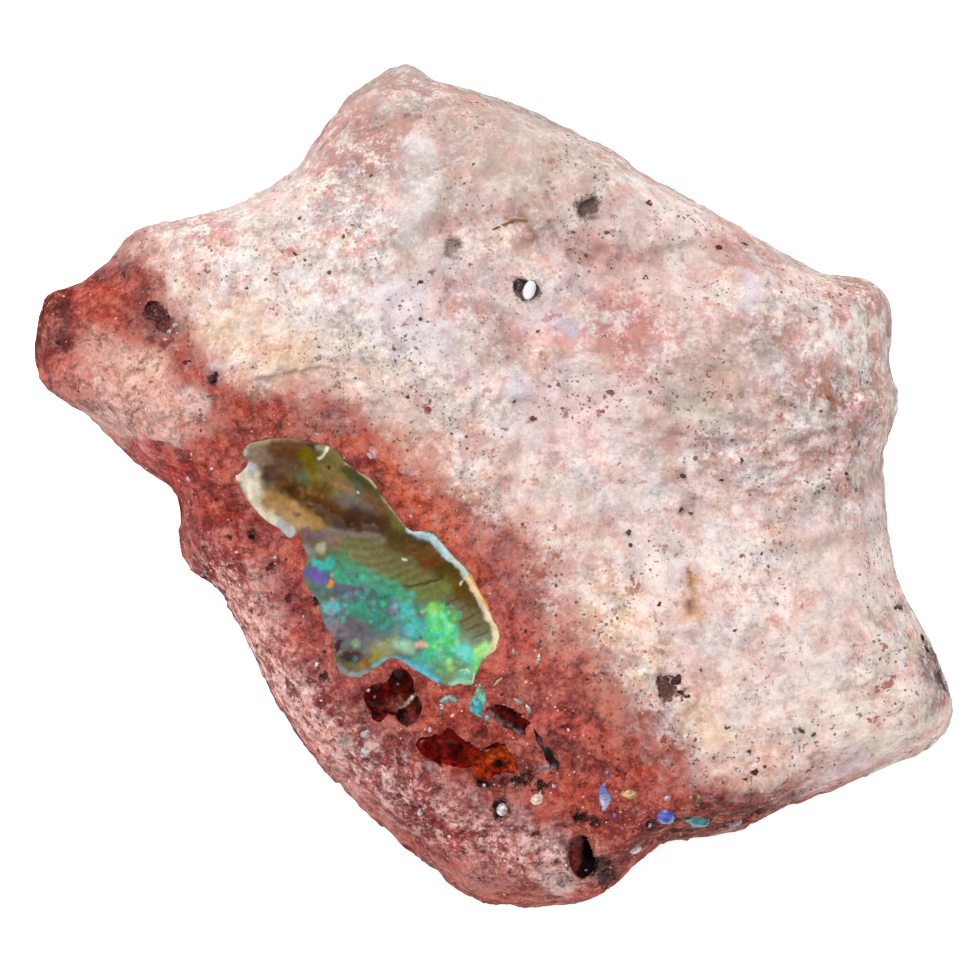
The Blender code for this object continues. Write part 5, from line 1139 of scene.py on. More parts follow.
LENS_BASE = "#6E6230"
DEPTH_SHADE = 0.86  # share of the light that the clear glass over the flashes lets back
FLASHES = [
    # what lies deep in the lower scoop
    ("#5E7A70", 1.6, 1.6, 0.9, (-7.6, -5.6), (-5.6, -6.8), (-3.6, -8.0)),
    ("#6A6C70", 0.9, 1.2, 0.7, (-7.4, -6.8), (-5.8, -7.6)),
    ("#4C8C72", 0.7, 0.9, 0.7, (-7.4, -4.6), (-5.4, -5.6), (-3.6, -7.4)),
    # the upper scoop: cream rim, smoky left, olive band, amber middle
    ("#7A6A50", 0.8, 0.6, 0.8, (-11.8, 1.4), (-11.4, 0.4)),
    (
        "#F0E6D0", 0.34, 0.3, 0.95, (-12.25, 0.65), (-12.2, 0.1), (-12.0, -0.4), (-11.7, -0.9),
        (-11.3, -1.4),
    ),
    ("#E8DCC8", 0.22, 0.25, 0.9, (-11.3, -1.5), (-10.8, -1.9), (-10.35, -2.25)),
    ("#E8DECC", 0.15, 0.15, 0.9, (-12.9, 0.42), (-12.5, 0.5)),
    ("#C6D0E2", 0.14, 0.2, 0.9, (-12.2, 0.9)),
    ("#B9C4D8", 0.12, 0.15, 0.8, (-12.45, 1.65)),
    (
        "#B8A488", 0.06, 0.15, 0.8, (-12.3, 2.0), (-11.8, 2.15), (-10.9, 2.28), (-10.0, 2.28),
        (-9.3, 2.15),
    ),
    ("#A08A74", 0.25, 0.4, 0.8, (-11.95, 1.75), (-11.5, 1.3)),
    ("#6E3C1C", 0.35, 0.5, 0.85, (-10.8, 1.8), (-9.9, 1.75), (-9.4, 1.9)),
    ("#6E463C", 0.3, 0.4, 0.7, (-10.5, 1.1), (-9.9, 0.8)),
    ("#2E1C0C", 0.1, 0.2, 0.9, (-9.2, 1.95)),
    ("#2A1214", 0.16, 0.25, 0.95, (-11.2, 0.75)),
    ("#4A3024", 0.15, 0.3, 0.8, (-11.3, 0.4), (-10.8, 0.4)),
    ("#3A2418", 0.05, 0.1, 0.8, (-11.07, -0.45)),
    ("#B48850", 0.35, 0.4, 0.9, (-11.3, -0.75), (-10.6, -0.95), (-9.9, -1.3), (-9.1, -1.8)),
    ("#B49468", 0.2, 0.3, 0.8, (-10.4, -1.6), (-9.6, -2.0)),
    ("#7A5A48", 0.05, 0.1, 0.8, (-10.0, -1.45), (-9.8, -1.4)),
    ("#8C6458", 0.05, 0.1, 0.7, (-10.9, -1.4), (-10.8, -1.5)),
    ("#A8B0B8", 0.12, 0.2, 0.8, (-10.75, -1.95), (-10.2, -2.4)),
    ("#7E6E00", 0.22, 0.25, 0.95, (-9.5, 1.6), (-9.25, 1.1), (-9.05, 0.5), (-8.7, -0.1)),
    ("#5E5406", 0.15, 0.3, 0.8, (-8.7, -0.2), (-8.3, -0.7)),
    ("#54704C", 0.15, 0.25, 0.7, (-9.65, 0.45), (-9.35, 0.0)),
    ("#5E3608", 0.28, 0.35, 0.9, (-10.5, 0.0), (-9.6, -0.4), (-8.85, -0.9), (-7.9, -1.35)),
    ("#2E1E08", 0.16, 0.25, 0.9, (-10.15, -0.2), (-9.65, -0.65)),
    ("#7E7440", 0.4, 0.4, 0.8, (-8.3, 1.6), (-7.6, 0.9)),
    ("#A8A090", 0.06, 0.12, 0.8, (-8.85, 1.9), (-8.5, 1.85)),
    ("#84713E", 0.35, 0.4, 0.85, (-8.5, 0.7), (-7.6, 0.0)),
    ("#98744A", 0.2, 0.35, 0.85, (-7.9, 0.1), (-7.4, -0.3)),
    ("#5C6450", 0.2, 0.3, 0.8, (-7.0, 0.2), (-6.6, -0.1)),
    ("#6E6462", 0.25, 0.3, 0.85, (-7.7, -0.65), (-7.0, -0.9), (-6.4, -1.15)),
    ("#463E12", 0.14, 0.25, 0.9, (-7.4, 0.8), (-6.4, 0.1), (-6.0, -0.7), (-5.5, -1.5)),
    ("#70400E", 0.1, 0.25, 0.8, (-5.6, -1.45)),
    ("#4E2A08", 0.3, 0.35, 0.9, (-9.0, -1.0), (-8.0, -1.6), (-7.3, -1.85)),
    ("#3E1E16", 0.34, 0.4, 0.9, (-7.0, -1.5), (-6.2, -1.85)),
    ("#301A08", 0.2, 0.25, 0.9, (-7.8, -2.05), (-6.8, -2.1), (-5.9, -2.2)),
    ("#42360C", 0.25, 0.35, 0.9, (-5.6, -2.2), (-5.0, -2.7), (-4.3, -3.1)),
    # the saddle between the scoops, with its purplish bead
    ("#7E7266", 0.1, 0.2, 0.85, (-8.6, -2.35), (-7.0, -2.42), (-5.7, -2.65), (-5.0, -3.0)),
    ("#6F525E", 0.16, 0.16, 0.9, (-9.55, -2.2), (-9.4, -2.6)),
    ("#7A6872", 0.1, 0.15, 0.8, (-9.1, -2.5), (-8.5, -2.5), (-8.2, -2.9)),
    ("#8A8288", 0.12, 0.2, 0.8, (-9.4, -3.1), (-9.2, -3.4)),
    ("#ABA68C", 0.26, 0.16, 0.95, (-8.72, -3.12)),
    ("#757040", 0.3, 0.4, 0.8, (-7.6, -3.1), (-6.4, -3.3), (-5.0, -3.5)),
    # the lower scoop's wall
    ("#857C50", 0.35, 0.4, 0.8, (-7.0, -3.6), (-5.6, -3.8), (-4.4, -3.8)),
    # the upper wall's dark brown: partly the glass's own colour, partly painted shade where the wall
    # faces away from the light
    ("#503C0C", 0.35, 0.35, 0.9, (-5.0, -2.75), (-3.9, -2.85), (-3.1, -3.35), (-2.3, -4.15)),
    ("#7C3E10", 0.2, 0.3, 0.85, (-3.6, -3.8), (-2.9, -3.75)),
    ("#5C4212", 0.3, 0.35, 0.9, (-2.6, -4.3), (-1.8, -4.95), (-1.2, -5.8)),
    ("#7D7844", 0.2, 0.3, 0.8, (-5.8, -4.5), (-4.8, -4.6), (-3.4, -4.8)),
    ("#76803C", 0.3, 0.35, 0.85, (-4.3, -5.4), (-3.2, -5.2), (-2.5, -4.95)),
    ("#7C7052", 0.4, 0.4, 0.85, (-1.9, -6.2), (-1.2, -6.8), (-0.7, -7.5)),
    ("#7C8C76", 0.3, 0.35, 0.8, (-1.5, -7.6), (-0.6, -7.8)),
    ("#4A3A16", 0.04, 0.08, 0.85, (-4.6, -5.04), (-3.8, -4.94), (-3.1, -4.75), (-2.7, -4.55)),
    ("#4A3A1C", 0.02, 0.07, 0.55, (-2.45, -6.0), (-1.75, -5.35)),
    ("#4A3A1C", 0.02, 0.07, 0.55, (-2.1, -6.4), (-1.35, -5.9)),
    ("#4A3A1C", 0.02, 0.07, 0.55, (-1.75, -6.8), (-0.85, -6.3)),
    ("#4A3A1C", 0.02, 0.07, 0.55, (-1.5, -7.2), (-0.65, -6.85)),
    ("#5A4A2C", 0.03, 0.08, 0.7, (-1.25, -7.6), (-0.45, -7.35)),
    # the play of colour
    ("#4F8460", 0.25, 0.35, 0.85, (-7.7, -3.6), (-7.6, -3.9), (-7.0, -4.3)),
    ("#52A680", 0.3, 0.35, 0.9, (-7.1, -4.4), (-6.05, -4.85), (-5.1, -5.25), (-4.6, -5.7)),
    ("#5C5A6C", 0.25, 0.3, 0.85, (-7.8, -5.2), (-7.0, -5.3), (-6.1, -5.5)),
    ("#5E7078", 0.5, 0.5, 0.85, (-6.0, -6.2), (-5.0, -6.7)),
    ("#3E9A7A", 0.25, 0.3, 0.85, (-6.95, -6.1), (-6.45, -6.5), (-6.0, -6.9)),
    ("#6C6472", 0.35, 0.4, 0.85, (-7.2, -7.2), (-6.1, -7.4)),
    ("#4C7E78", 0.35, 0.4, 0.8, (-5.8, -7.0), (-5.2, -7.2)),
    ("#A0A072", 0.25, 0.35, 0.85, (-5.7, -8.2), (-4.9, -7.85)),
    ("#8A7C50", 0.15, 0.25, 0.8, (-6.1, -8.15)),
    ("#98C2A4", 0.2, 0.3, 0.8, (-4.3, -8.1)),
    ("#3FB6C0", 0.3, 0.3, 0.9, (-4.2, -7.2), (-3.5, -7.25)),
    ("#34C8BC", 0.18, 0.2, 0.95, (-4.55, -6.1), (-4.25, -6.5), (-3.95, -6.95)),
    ("#40B874", 0.35, 0.4, 0.95, (-3.2, -7.6), (-2.9, -8.2)),
    ("#55D070", 0.3, 0.4, 0.95, (-3.0, -6.4), (-2.6, -6.9), (-2.35, -7.4), (-2.55, -7.9)),
    ("#98D458", 0.14, 0.25, 0.9, (-3.1, -6.1)),
    ("#7CD466", 0.12, 0.2, 0.8, (-3.1, -7.0)),
    ("#74B45C", 0.15, 0.25, 0.7, (-2.1, -6.5)),
    ("#3CC48C", 0.15, 0.25, 0.8, (-3.4, -8.5), (-2.7, -8.4)),
    ("#5CB8B0", 0.15, 0.25, 0.8, (-3.9, -8.7), (-3.3, -9.0)),
    ("#7A9C70", 0.35, 0.4, 0.85, (-2.6, -8.7), (-2.5, -9.2), (-2.0, -9.5)),
    ("#58D4CC", 0.25, 0.3, 0.95, (-1.75, -8.2), (-1.35, -8.45)),
    ("#A0E488", 0.18, 0.25, 0.95, (-0.9, -8.3), (-0.5, -8.1)),
    ("#74D884", 0.15, 0.25, 0.9, (-0.95, -8.8), (-1.1, -9.2)),
    ("#7CB090", 0.2, 0.25, 0.8, (-1.4, -9.3), (-1.8, -9.6)),
    ("#9CD4B4", 0.08, 0.12, 0.8, (-2.2, -9.9), (-1.6, -9.85), (-1.2, -9.8)),
    (
        "#50B8CC", 0.1, 0.18, 0.95, (-5.0, -8.72), (-4.45, -8.9), (-4.0, -9.1), (-3.5, -9.4),
        (-3.0, -9.7),
    ),
    ("#68B8C0", 0.06, 0.14, 0.85, (-6.05, -9.0), (-5.65, -8.8), (-5.25, -8.7)),
    ("#2F3C4A", 0.06, 0.1, 0.9, (-7.5, -8.05)),
    # the left edge: violet and turquoise flashes, an orange spark, small hollows
    ("#5A5A90", 0.15, 0.2, 0.85, (-9.5, -4.3)),
    ("#7660B8", 0.26, 0.22, 0.95, (-9.0, -4.4), (-8.75, -4.6)),
    ("#3CBAB6", 0.14, 0.16, 0.95, (-9.0, -3.85), (-8.4, -4.05), (-8.25, -3.75)),
    ("#F08A40", 0.09, 0.09, 0.95, (-8.25, -5.0), (-8.2, -4.8)),
    ("#F0A070", 0.05, 0.08, 0.85, (-8.15, -4.45)),
    ("#3CB48C", 0.12, 0.18, 0.9, (-7.9, -4.4), (-7.65, -4.65)),
    ("#68C8D0", 0.2, 0.2, 0.9, (-8.4, -6.05), (-8.05, -6.0)),
    ("#6A8C8C", 0.2, 0.25, 0.8, (-8.35, -6.8)),
    ("#E0A090", 0.05, 0.1, 0.7, (-8.15, -5.6)),
    ("#48B8A8", 0.1, 0.16, 0.9, (-6.72, -5.6)),
    ("#34B48E", 0.1, 0.15, 0.9, (-7.25, -6.0)),
    ("#5CACA4", 0.12, 0.12, 0.9, (-7.65, -6.68)),
    ("#8C7A84", 0.25, 0.3, 0.8, (-8.2, -7.3), (-7.7, -7.3)),
    ("#30C89C", 0.14, 0.13, 0.95, (-5.65, -5.88)),
    ("#48B484", 0.06, 0.12, 0.9, (-5.45, -5.35)),
    ("#A4B4E0", 0.13, 0.14, 0.95, (-5.0, -6.05)),
    ("#3C6274", 0.12, 0.12, 0.95, (-3.77, -6.4)),
    ("#7C2A4A", 0.08, 0.1, 0.95, (-3.8, -7.6)),
    ("#ECA89A", 0.1, 0.12, 0.95, (-3.85, -7.9), (-3.7, -7.95)),
    ("#C8C890", 0.06, 0.1, 0.8, (-3.5, -8.0)),
    ("#40161E", 0.14, 0.15, 0.95, (-7.86, -7.75), (-7.9, -8.1)),
    ("#4C2C2A", 0.18, 0.2, 0.9, (-7.5, -8.5), (-6.9, -8.5)),
    ("#8A5A1C", 0.15, 0.2, 0.9, (-6.45, -8.75)),
    ("#A8681C", 0.08, 0.15, 0.9, (-6.65, -9.0)),
    ("#8F8A34", 0.08, 0.15, 0.85, (-6.2, -8.65), (-5.8, -8.4)),
    ("#94AC8C", 0.2, 0.14, 0.95, (-6.99, -7.88)),
    ("#94909A", 0.07, 0.12, 0.85, (-7.9, -9.0), (-7.5, -9.35), (-6.9, -9.5), (-6.45, -9.3)),
    # the pale ribbon of the rim
    ("#B8DCE8", 0.16, 0.1, 0.95, (-4.3, -2.2), (-3.8, -2.42), (-3.3, -2.6)),
    ("#BEE0E8", 0.2, 0.1, 0.95, (-3.3, -2.55), (-2.75, -3.1), (-2.25, -3.6)),
    ("#CCDCCC", 0.13, 0.1, 0.95, (-2.25, -3.6), (-1.75, -4.1), (-1.4, -4.6)),
    ("#F0D6AC", 0.13, 0.1, 0.95, (-1.4, -4.6), (-1.05, -5.2), (-0.75, -5.75), (-0.5, -6.3)),
    ("#E2A662", 0.06, 0.08, 0.9, (-1.2, -4.5), (-0.9, -5.1), (-0.6, -5.6), (-0.36, -6.1)),
    ("#B8AEB8", 0.06, 0.08, 0.8, (-0.75, -6.0), (-0.45, -6.7)),
    ("#EEDCB8", 0.14, 0.1, 0.95, (-0.4, -6.4), (-0.1, -7.0), (0.02, -7.6), (-0.12, -8.1)),
    ("#C4C098", 0.08, 0.1, 0.9, (-0.15, -8.1), (-0.5, -8.5)),
    ("#A8A890", 0.05, 0.08, 0.85, (-5.9, -0.1), (-5.2, -1.1), (-4.5, -1.95)),
    ("#C8B898", 0.04, 0.08, 0.85, (-7.4, 1.15), (-6.3, 0.35), (-5.95, -0.1)),
    # deeper stains seen through the clear glass
    ("#6A3A10", 0.25, 0.35, 0.6, (-9.7, -0.35), (-8.7, -0.2)),
    ("#7A6000", 0.12, 0.2, 0.7, (-9.35, 1.2), (-9.2, 0.8)),
    ("#4A2616", 0.3, 0.3, 0.7, (-6.7, -1.85), (-5.8, -2.0)),
    ("#7A5438", 0.2, 0.25, 0.7, (-6.3, -0.6), (-5.6, -1.2)),
    ("#7A4E1A", 0.2, 0.3, 0.6, (-4.4, -3.2), (-3.2, -3.3)),
    ("#704A00", 0.15, 0.2, 0.6, (-2.4, -4.5), (-1.6, -5.5)),
    ("#8C6E60", 0.15, 0.2, 0.7, (-8.2, -2.65), (-7.8, -2.7)),
    ("#70C4CC", 0.16, 0.15, 0.9, (-8.25, -6.2)),
    ("#A4D4B4", 0.15, 0.2, 0.8, (-4.9, -7.9), (-4.5, -8.0)),
    ("#8CB88C", 0.2, 0.2, 0.7, (-2.5, -8.8)),
    ("#8ADED0", 0.2, 0.2, 0.8, (-1.65, -8.4)),
    ("#6C4634", 0.12, 0.2, 0.8, (-11.3, 0.9), (-11.1, 0.6)),
    # painted highlights: glints on its broken edges
    ("#F6F0E0", 0.04, 0.06, 0.95, (-8.4, 1.9), (-8.5, 1.65), (-8.8, 1.35)),
    ("#F4F0E8", 0.04, 0.05, 0.9, (-4.65, -3.65), (-4.5, -3.7)),
    ("#F4F0E8", 0.03, 0.05, 0.9, (-6.82, -0.35)),
    ("#E4F4E8", 0.015, 0.04, 0.8, (-1.75, -9.2), (-1.45, -9.15), (-1.35, -9.3)),
    ("#E4F4E8", 0.015, 0.04, 0.8, (-1.1, -9.3), (-1.15, -9.7)),
    ("#F4F0E8", 0.03, 0.05, 0.9, (-1.8, -4.9), (-1.7, -4.75)),
]

# Small soft grains that the flashes break up into: how many, along which line (each point's X and Y as
# one complex number), how far they spread, their colours and strength.
FLASH_GRAINS = [
    (
        190, [-7.4 - 4.9j, -6.2 - 6.0j, -5.0 - 6.6j, -3.8 - 7.4j], 0.62,
        ["#2FAE8E", "#3FA6A8", "#6E6C80", "#4FA070", "#57C4B8", "#3A6A64", "#8A8AA0", "#3C8C7C"], 0.5,
    ),
    (
        90, [-3.2 - 6.3j, -2.6 - 7.4j, -2.6 - 8.4j, -2.0 - 9.2j], 0.42,
        ["#5FE08A", "#45C9B4", "#A4E27C", "#36B070", "#7CE8D0", "#2E9A60"], 0.5,
    ),
    (
        40, [-8.5 - 5.8j, -8.2 - 7.0j, -7.6 - 8.2j], 0.3,
        ["#50B4B8", "#8C7A84", "#6A8C8C", "#A890A8", "#3E2A30"], 0.45,
    ),
    (
        60, [-10.8 + 0.6j, -9.4 - 0.6j, -7.6 + 0.2j, -5.6 - 2.4j], 0.5,
        ["#8A7A3C", "#4A3A10", "#6E5220", "#8C8450"], 0.3,
    ),
]  # fmt: skip

lens_outline = HOLLOWS["precious_opal"][0]
low_corner, high_corner = np.min(lens_outline, 0) - 0.3, np.max(lens_outline, 0) + 0.3
across, along = high_corner - low_corner
opal = bmesh.new()
bmesh.ops.create_grid(
    opal, x_segments=int(across / GRID_STEP), y_segments=int(along / GRID_STEP), size=0.5
)
bmesh.ops.scale(opal, vec=(across, along, 1), verts=opal.verts[:])
bmesh.ops.translate(opal, vec=(*(low_corner + high_corner) / 2, 0), verts=opal.verts[:])
x, y = np.array([v.co.xy for v in opal.verts]).T
inward = within(lens_outline, x, y)
outside = [v for v, depth in zip(opal.verts, inward) if depth < -EDGE_UNDER]
bmesh.ops.delete(opal, geom=outside, context="VERTS")
kept = inward >= -EDGE_UNDER
x, y, inward = x[kept], y[kept], inward[kept]
face = stone_height(x, y)
wall = 1 - np.exp(-((np.clip(inward - 0.12, 0, None) / SCOOP_WALL) ** 1.5))
bowl = SCOOP_FLOOR * wall
for sx, sy, radius, depth in SCOOP_DEPTHS:
    bowl += depth * wall * np.exp(-((np.hypot(x - sx, y - sy) / radius) ** 2))
bowl -= SADDLE_RISE * wall * np.exp(-((beside(SADDLE, x, y) / SADDLE_WIDTH) ** 2))
ring = np.hypot(x - RIPPLE_CENTRE[0], y - RIPPLE_CENTRE[1])
phase = ring * 2 * math.pi / RIPPLE_SPACING + 1.5 * np.sin(x * 1.3)
ripples = RIPPLE_HEIGHT * np.sin(phase) * wall
near, far = RIPPLE_REACH
ripples *= np.clip((ring - near) / 0.6, 0, 1) * np.clip((far - ring) / 2.0, 0, 1)
ripples *= np.clip((x + 0.7 * y + 11.5) / 3.0, 0.15, 1)
z = face + LENS_LIP - bowl + ripples + lumpy(x, y, [(1.4, 0.05), (0.35, 0.01)])
z -= np.clip(0.02 - inward, 0, None) * 5
for v, *spot in zip(opal.verts, x, y, z):
    v.co = Vector(spot) * MM
drift = wander(x, y, [(0.5, 0.1), (0.16, 0.05)])
tone = paint(np.tile(tint(LENS_BASE), (len(x), 1)), x, y, FLASHES, drift)
dice = np.random.RandomState(4)
grains = []
for count, points, spread_out, codes, strength in FLASH_GRAINS:
    for _ in range(count):
        spot = np.interp(dice.rand() * (len(points) - 1), range(len(points)), points)
        radius = dice.uniform(0.05, 0.17)
        spot = np.array([spot.real, spot.imag]) + dice.normal(0, spread_out, 2)
        code = codes[dice.randint(len(codes))]
        grains.append((code, radius * 0.7, radius * 0.8, strength, tuple(spot)))
tone = paint(tone, x, y, grains, drift)
# The ripples are painted lighter on their crests and darker in their troughs: painted light and shade
# over their low relief.
tone *= DEPTH_SHADE * (1 + ripples * 12)[:, None]

rim_edges = [e for e in opal.edges if e.is_boundary]
walls = bmesh.ops.extrude_edge_only(opal, edges=rim_edges)
skirt = {g for g in walls["geom"] if isinstance(g, bmesh.types.BMVert)}
floor_height = float(z.min()) - LENS_BODY
for v in skirt:
    v.co.z = floor_height * MM
skirt_edges = [
    g for g in walls["geom"] if isinstance(g, bmesh.types.BMEdge) and skirt.issuperset(g.verts)
]
bmesh.ops.contextual_create(opal, geom=skirt_edges)
bmesh.ops.recalc_face_normals(opal, faces=opal.faces[:])
tone = np.vstack([tone, np.tile(tint(LENS_BASE), (len(opal.verts) - len(tone), 1))])

# Precious opal is glass with even layers of silica balls. It broke smooth, so it has a soft gloss. Its
# colours are also given off as a faint glow, painted light that makes them seem lit from inside.
play_of_colour, tree, shader = new_material("precious_opal_glass", 0.22, 0.1)
colour = add(tree, "Attribute", {"attribute_name": "tone"}).outputs["Color"]
colour = clouded(tree, colour, 3.2, 4.0, 0.6, 0.36, 0.64, "#DCDAD4", "#FFFFFF")
tree.links.new(colour, shader.inputs["Base Color"])
# painted light: the colours also glow faintly
tree.links.new(colour, shader.inputs["Emission Color"])
shader.inputs["Emission Strength"].default_value = 0.14
shader.inputs["IOR"].default_value = OPAL_IOR
shader.inputs["Coat Weight"].default_value = 0.05
shader.inputs["Coat Roughness"].default_value = 0.06
add_piece("precious_opal_lens", opal, play_of_colour, "precious_opal", ["precious_opal"], tone=tone)


# ---- Red and smoky opal ----------------------------------------------------------------------------
# Clear opal in other hollows: the orange-red pool, the cherry drops, the dark lining of the hollow by
# the foot, and thin fillings of two cracks. Each is a smooth glassy mass, seen against the dark rock
# behind it.

WALL_FROM = 72  # its upright wall starts this many degrees down its ball


def lay_in(name, divided, sink, dish, depth, swell=()):
    """A filled hollow: its mesh and its points' places, with drops that swell from it."""
    points, centre, _ = HOLLOWS[name]
    bm = bmesh.new()
    bmesh.ops.create_icosphere(bm, subdivisions=divided, radius=1.0)
    co = np.array([v.co for v in bm.verts])
    angle, down = np.arctan2(co[:, 1], co[:, 0]), np.arccos(np.clip(co[:, 2], -1, 1))
    share = np.minimum(np.sin(down) / math.sin(math.radians(WALL_FROM)), 1)
    out = share * reach(points, centre, angle)
    x, y = centre[0] + out * np.cos(angle), centre[1] + out * np.sin(angle)
    ragged = wander(x, y, [(0.4, 0.08), (0.2, 0.08)]) * share**4
    x, y = x + ragged[0], y + ragged[1]
    face = stone_height(x, y)
    upper = face - sink - dish * (1 - share**2)
    for bx, by, half_x, half_y, turn, rise in swell:
        a = math.radians(turn)
        u = ((x - bx) * math.cos(a) + (y - by) * math.sin(a)) / half_x
        v = ((y - by) * math.cos(a) - (x - bx) * math.sin(a)) / half_y
        dome = face + rise - 0.65 * abs(half_x) * (1 - np.sqrt(np.clip(1 - u * u - v * v, 0, 1)))
        upper = np.where(u * u + v * v < 1, np.maximum(upper, dome), upper)
    lower = face - sink - depth * np.sqrt(1 - 0.9 * share**2) - 0.02
    down_wall = np.clip((np.degrees(down) - WALL_FROM) / (180 - 2 * WALL_FROM), 0, 1)
    z = upper + (lower - upper) * down_wall
    for v, *spot in zip(bm.verts, x, y, z):
        v.co = Vector(spot) * MM
    return bm, x, y


# Clear red opal is smooth glass over dark rock, so it looks deep and dark; its few small glints are
# painted highlights in its colours.
clear_red_opal, tree, shader = new_material("clear_red_opal", 0.1, 0.04)
colour = add(tree, "Attribute", {"attribute_name": "tone"}).outputs["Color"]
for scale, dark, light in [(2.2, "#8C8080", "#FFFFFF"), (5.5, "#A09898", "#FFF4E8")]:
    colour = clouded(tree, colour, scale, 4.0, 0.65, 0.4, 0.6, dark, light)
tree.links.new(colour, shader.inputs["Base Color"])
shader.inputs["IOR"].default_value = OPAL_IOR
shader.inputs["Coat Weight"].default_value = 0.01
shader.inputs["Coat Roughness"].default_value = 0.03

POOL_COLOURS = [
    ("#7C0A06", 0.9, 0.8, 0.9, (-3.0, -13.1), (-2.0, -13.2)),
    ("#A01C0A", 0.25, 0.4, 0.7, (-2.6, -13.6), (-1.6, -13.8)),
    ("#5E0604", 0.25, 0.3, 0.8, (-2.4, -12.4), (-2.0, -12.7), (-2.2, -13.3)),
    ("#A02A0A", 0.3, 0.4, 0.9, (-1.0, -13.6), (-0.7, -14.3)),
    ("#B43A0C", 0.18, 0.25, 0.9, (-0.9, -14.0), (-0.5, -14.5)),
    ("#A8320A", 0.25, 0.3, 0.9, (-0.3, -13.4), (0.3, -13.1), (0.7, -13.8)),
    ("#C85214", 0.1, 0.2, 0.8, (-0.4, -13.6), (0.1, -13.4)),
    ("#C85010", 0.1, 0.15, 0.8, (0.6, -13.3), (0.85, -14.0)),
    ("#1C0202", 0.26, 0.12, 0.98, (0.13, -13.85)),
    ("#3A0404", 0.05, 0.12, 0.8, (-4.0, -12.85), (-3.3, -12.45), (-2.3, -11.97), (-1.4, -12.7)),
    ("#E08060", 0.02, 0.05, 0.7, (-3.8, -12.8), (-3.6, -12.7)),
]
CHERRY_COLOURS = [
    ("#480404", 0.6, 0.3, 0.95, (-5.91, -10.46)),
    ("#340606", 0.55, 0.25, 0.95, (-4.78, -9.62)),
    # lighter red rings inside each drop's edge: painted light that shows their round shape
    ("#84201A", 0.06, 0.1, 0.9, *map(tuple, oval(-5.91, -10.46, 0.72, 0.68, 0, 20)), (-5.2, -10.46)),
    ("#6E1612", 0.05, 0.1, 0.9, *map(tuple, oval(-4.8, -9.65, 0.64, 0.6, 0, 20)), (-4.16, -9.65)),
    ("#7A120A", 0.2, 0.25, 0.9, (-5.3, -10.3), (-4.6, -10.3)),
    ("#E08070", 0.22, 0.2, 0.95, (-5.2, -10.9), (-4.8, -10.75)),
    ("#4A1010", 0.2, 0.2, 0.9, (-6.1, -11.5), (-5.7, -11.7)),
    ("#8A2A20", 0.1, 0.12, 0.8, (-5.9, -11.75), (-5.5, -11.5)),
    ("#86383E", 0.35, 0.25, 0.9, (-4.2, -11.4), (-4.3, -11.9)),
    ("#1C0606", 0.16, 0.16, 0.95, (-4.72, -11.1), (-4.78, -11.7)),
    ("#5A2028", 0.2, 0.2, 0.9, (-3.8, -11.0), (-3.75, -11.3)),
    ("#FFF4DC", 0.05, 0.06, 0.98, (-4.0, -10.1), (-3.92, -10.3), (-4.1, -10.55), (-4.35, -10.75)),
    ("#F0DCC8", 0.03, 0.06, 0.9, (-4.35, -10.75), (-4.6, -10.95), (-4.9, -11.05)),
    # painted glints on the drops
    ("#E8E0D8", 0.05, 0.05, 0.9, (-6.36, -10.2)),
    ("#E8E0D8", 0.03, 0.04, 0.9, (-6.05, -10.53)),
    ("#E8E0D8", 0.03, 0.04, 0.9, (-4.9, -9.9)),
]
# the near-black over the hollow's right side is painted shadow, and the pale speck at its foot a
# painted glint
POCKET_COLOURS = [
    ("#A4484A", 0.5, 0.3, 0.95, (3.8, -17.9), (3.75, -18.9)),
    ("#040101", 0.34, 0.25, 0.98, (4.6, -17.7), (4.7, -18.3), (4.55, -19.1)),
    ("#E8E0E0", 0.02, 0.03, 0.9, (4.5, -19.2)),
]
BAR_COLOURS = [
    ("#640C0A", 0.25, 0.2, 0.95, (0.2, -11.2), (0.8, -11.4), (1.5, -11.8)),
    ("#2A0604", 0.1, 0.15, 0.9, (0.5, -11.05), (0.8, -11.2)),
    ("#86686E", 0.14, 0.12, 0.95, (-0.4, -11.35), (0.2, -11.75), (0.8, -12.15), (1.3, -12.4)),
    ("#3C2A34", 0.06, 0.1, 0.9, (-0.45, -11.05), (-0.2, -11.1)),
    ("#7C2018", 0.08, 0.12, 0.8, (1.5, -12.05), (1.6, -12.3)),
]
VEIN_COLOURS = [
    ("#1C1210", 0.08, 0.1, 0.9, (1.92, -12.2), (1.98, -12.5)),
    ("#745064", 0.14, 0.12, 0.9, (2.1, -12.6), (2.35, -13.0)),
    ("#2E2A20", 0.15, 0.15, 0.9, (2.65, -13.4), (2.85, -13.8)),
    ("#A890A4", 0.06, 0.1, 0.8, (2.5, -14.0), (3.0, -14.05)),
]
# Drops that swell from a filling: x, y, half length, half width, turn, how far they stand out.
POOL_DROPS = [(-2.4, -13.1, 1.5, 0.9, -15, 0.1)]
CHERRY_DROPS = [
    (-5.91, -10.46, 0.98, 0.9, 0, 0.1), (-4.8, -9.65, 0.86, 0.8, 0, 0.12),
    (-5.95, -11.5, 0.5, 0.35, 0, -0.05),
]  # fmt: skip
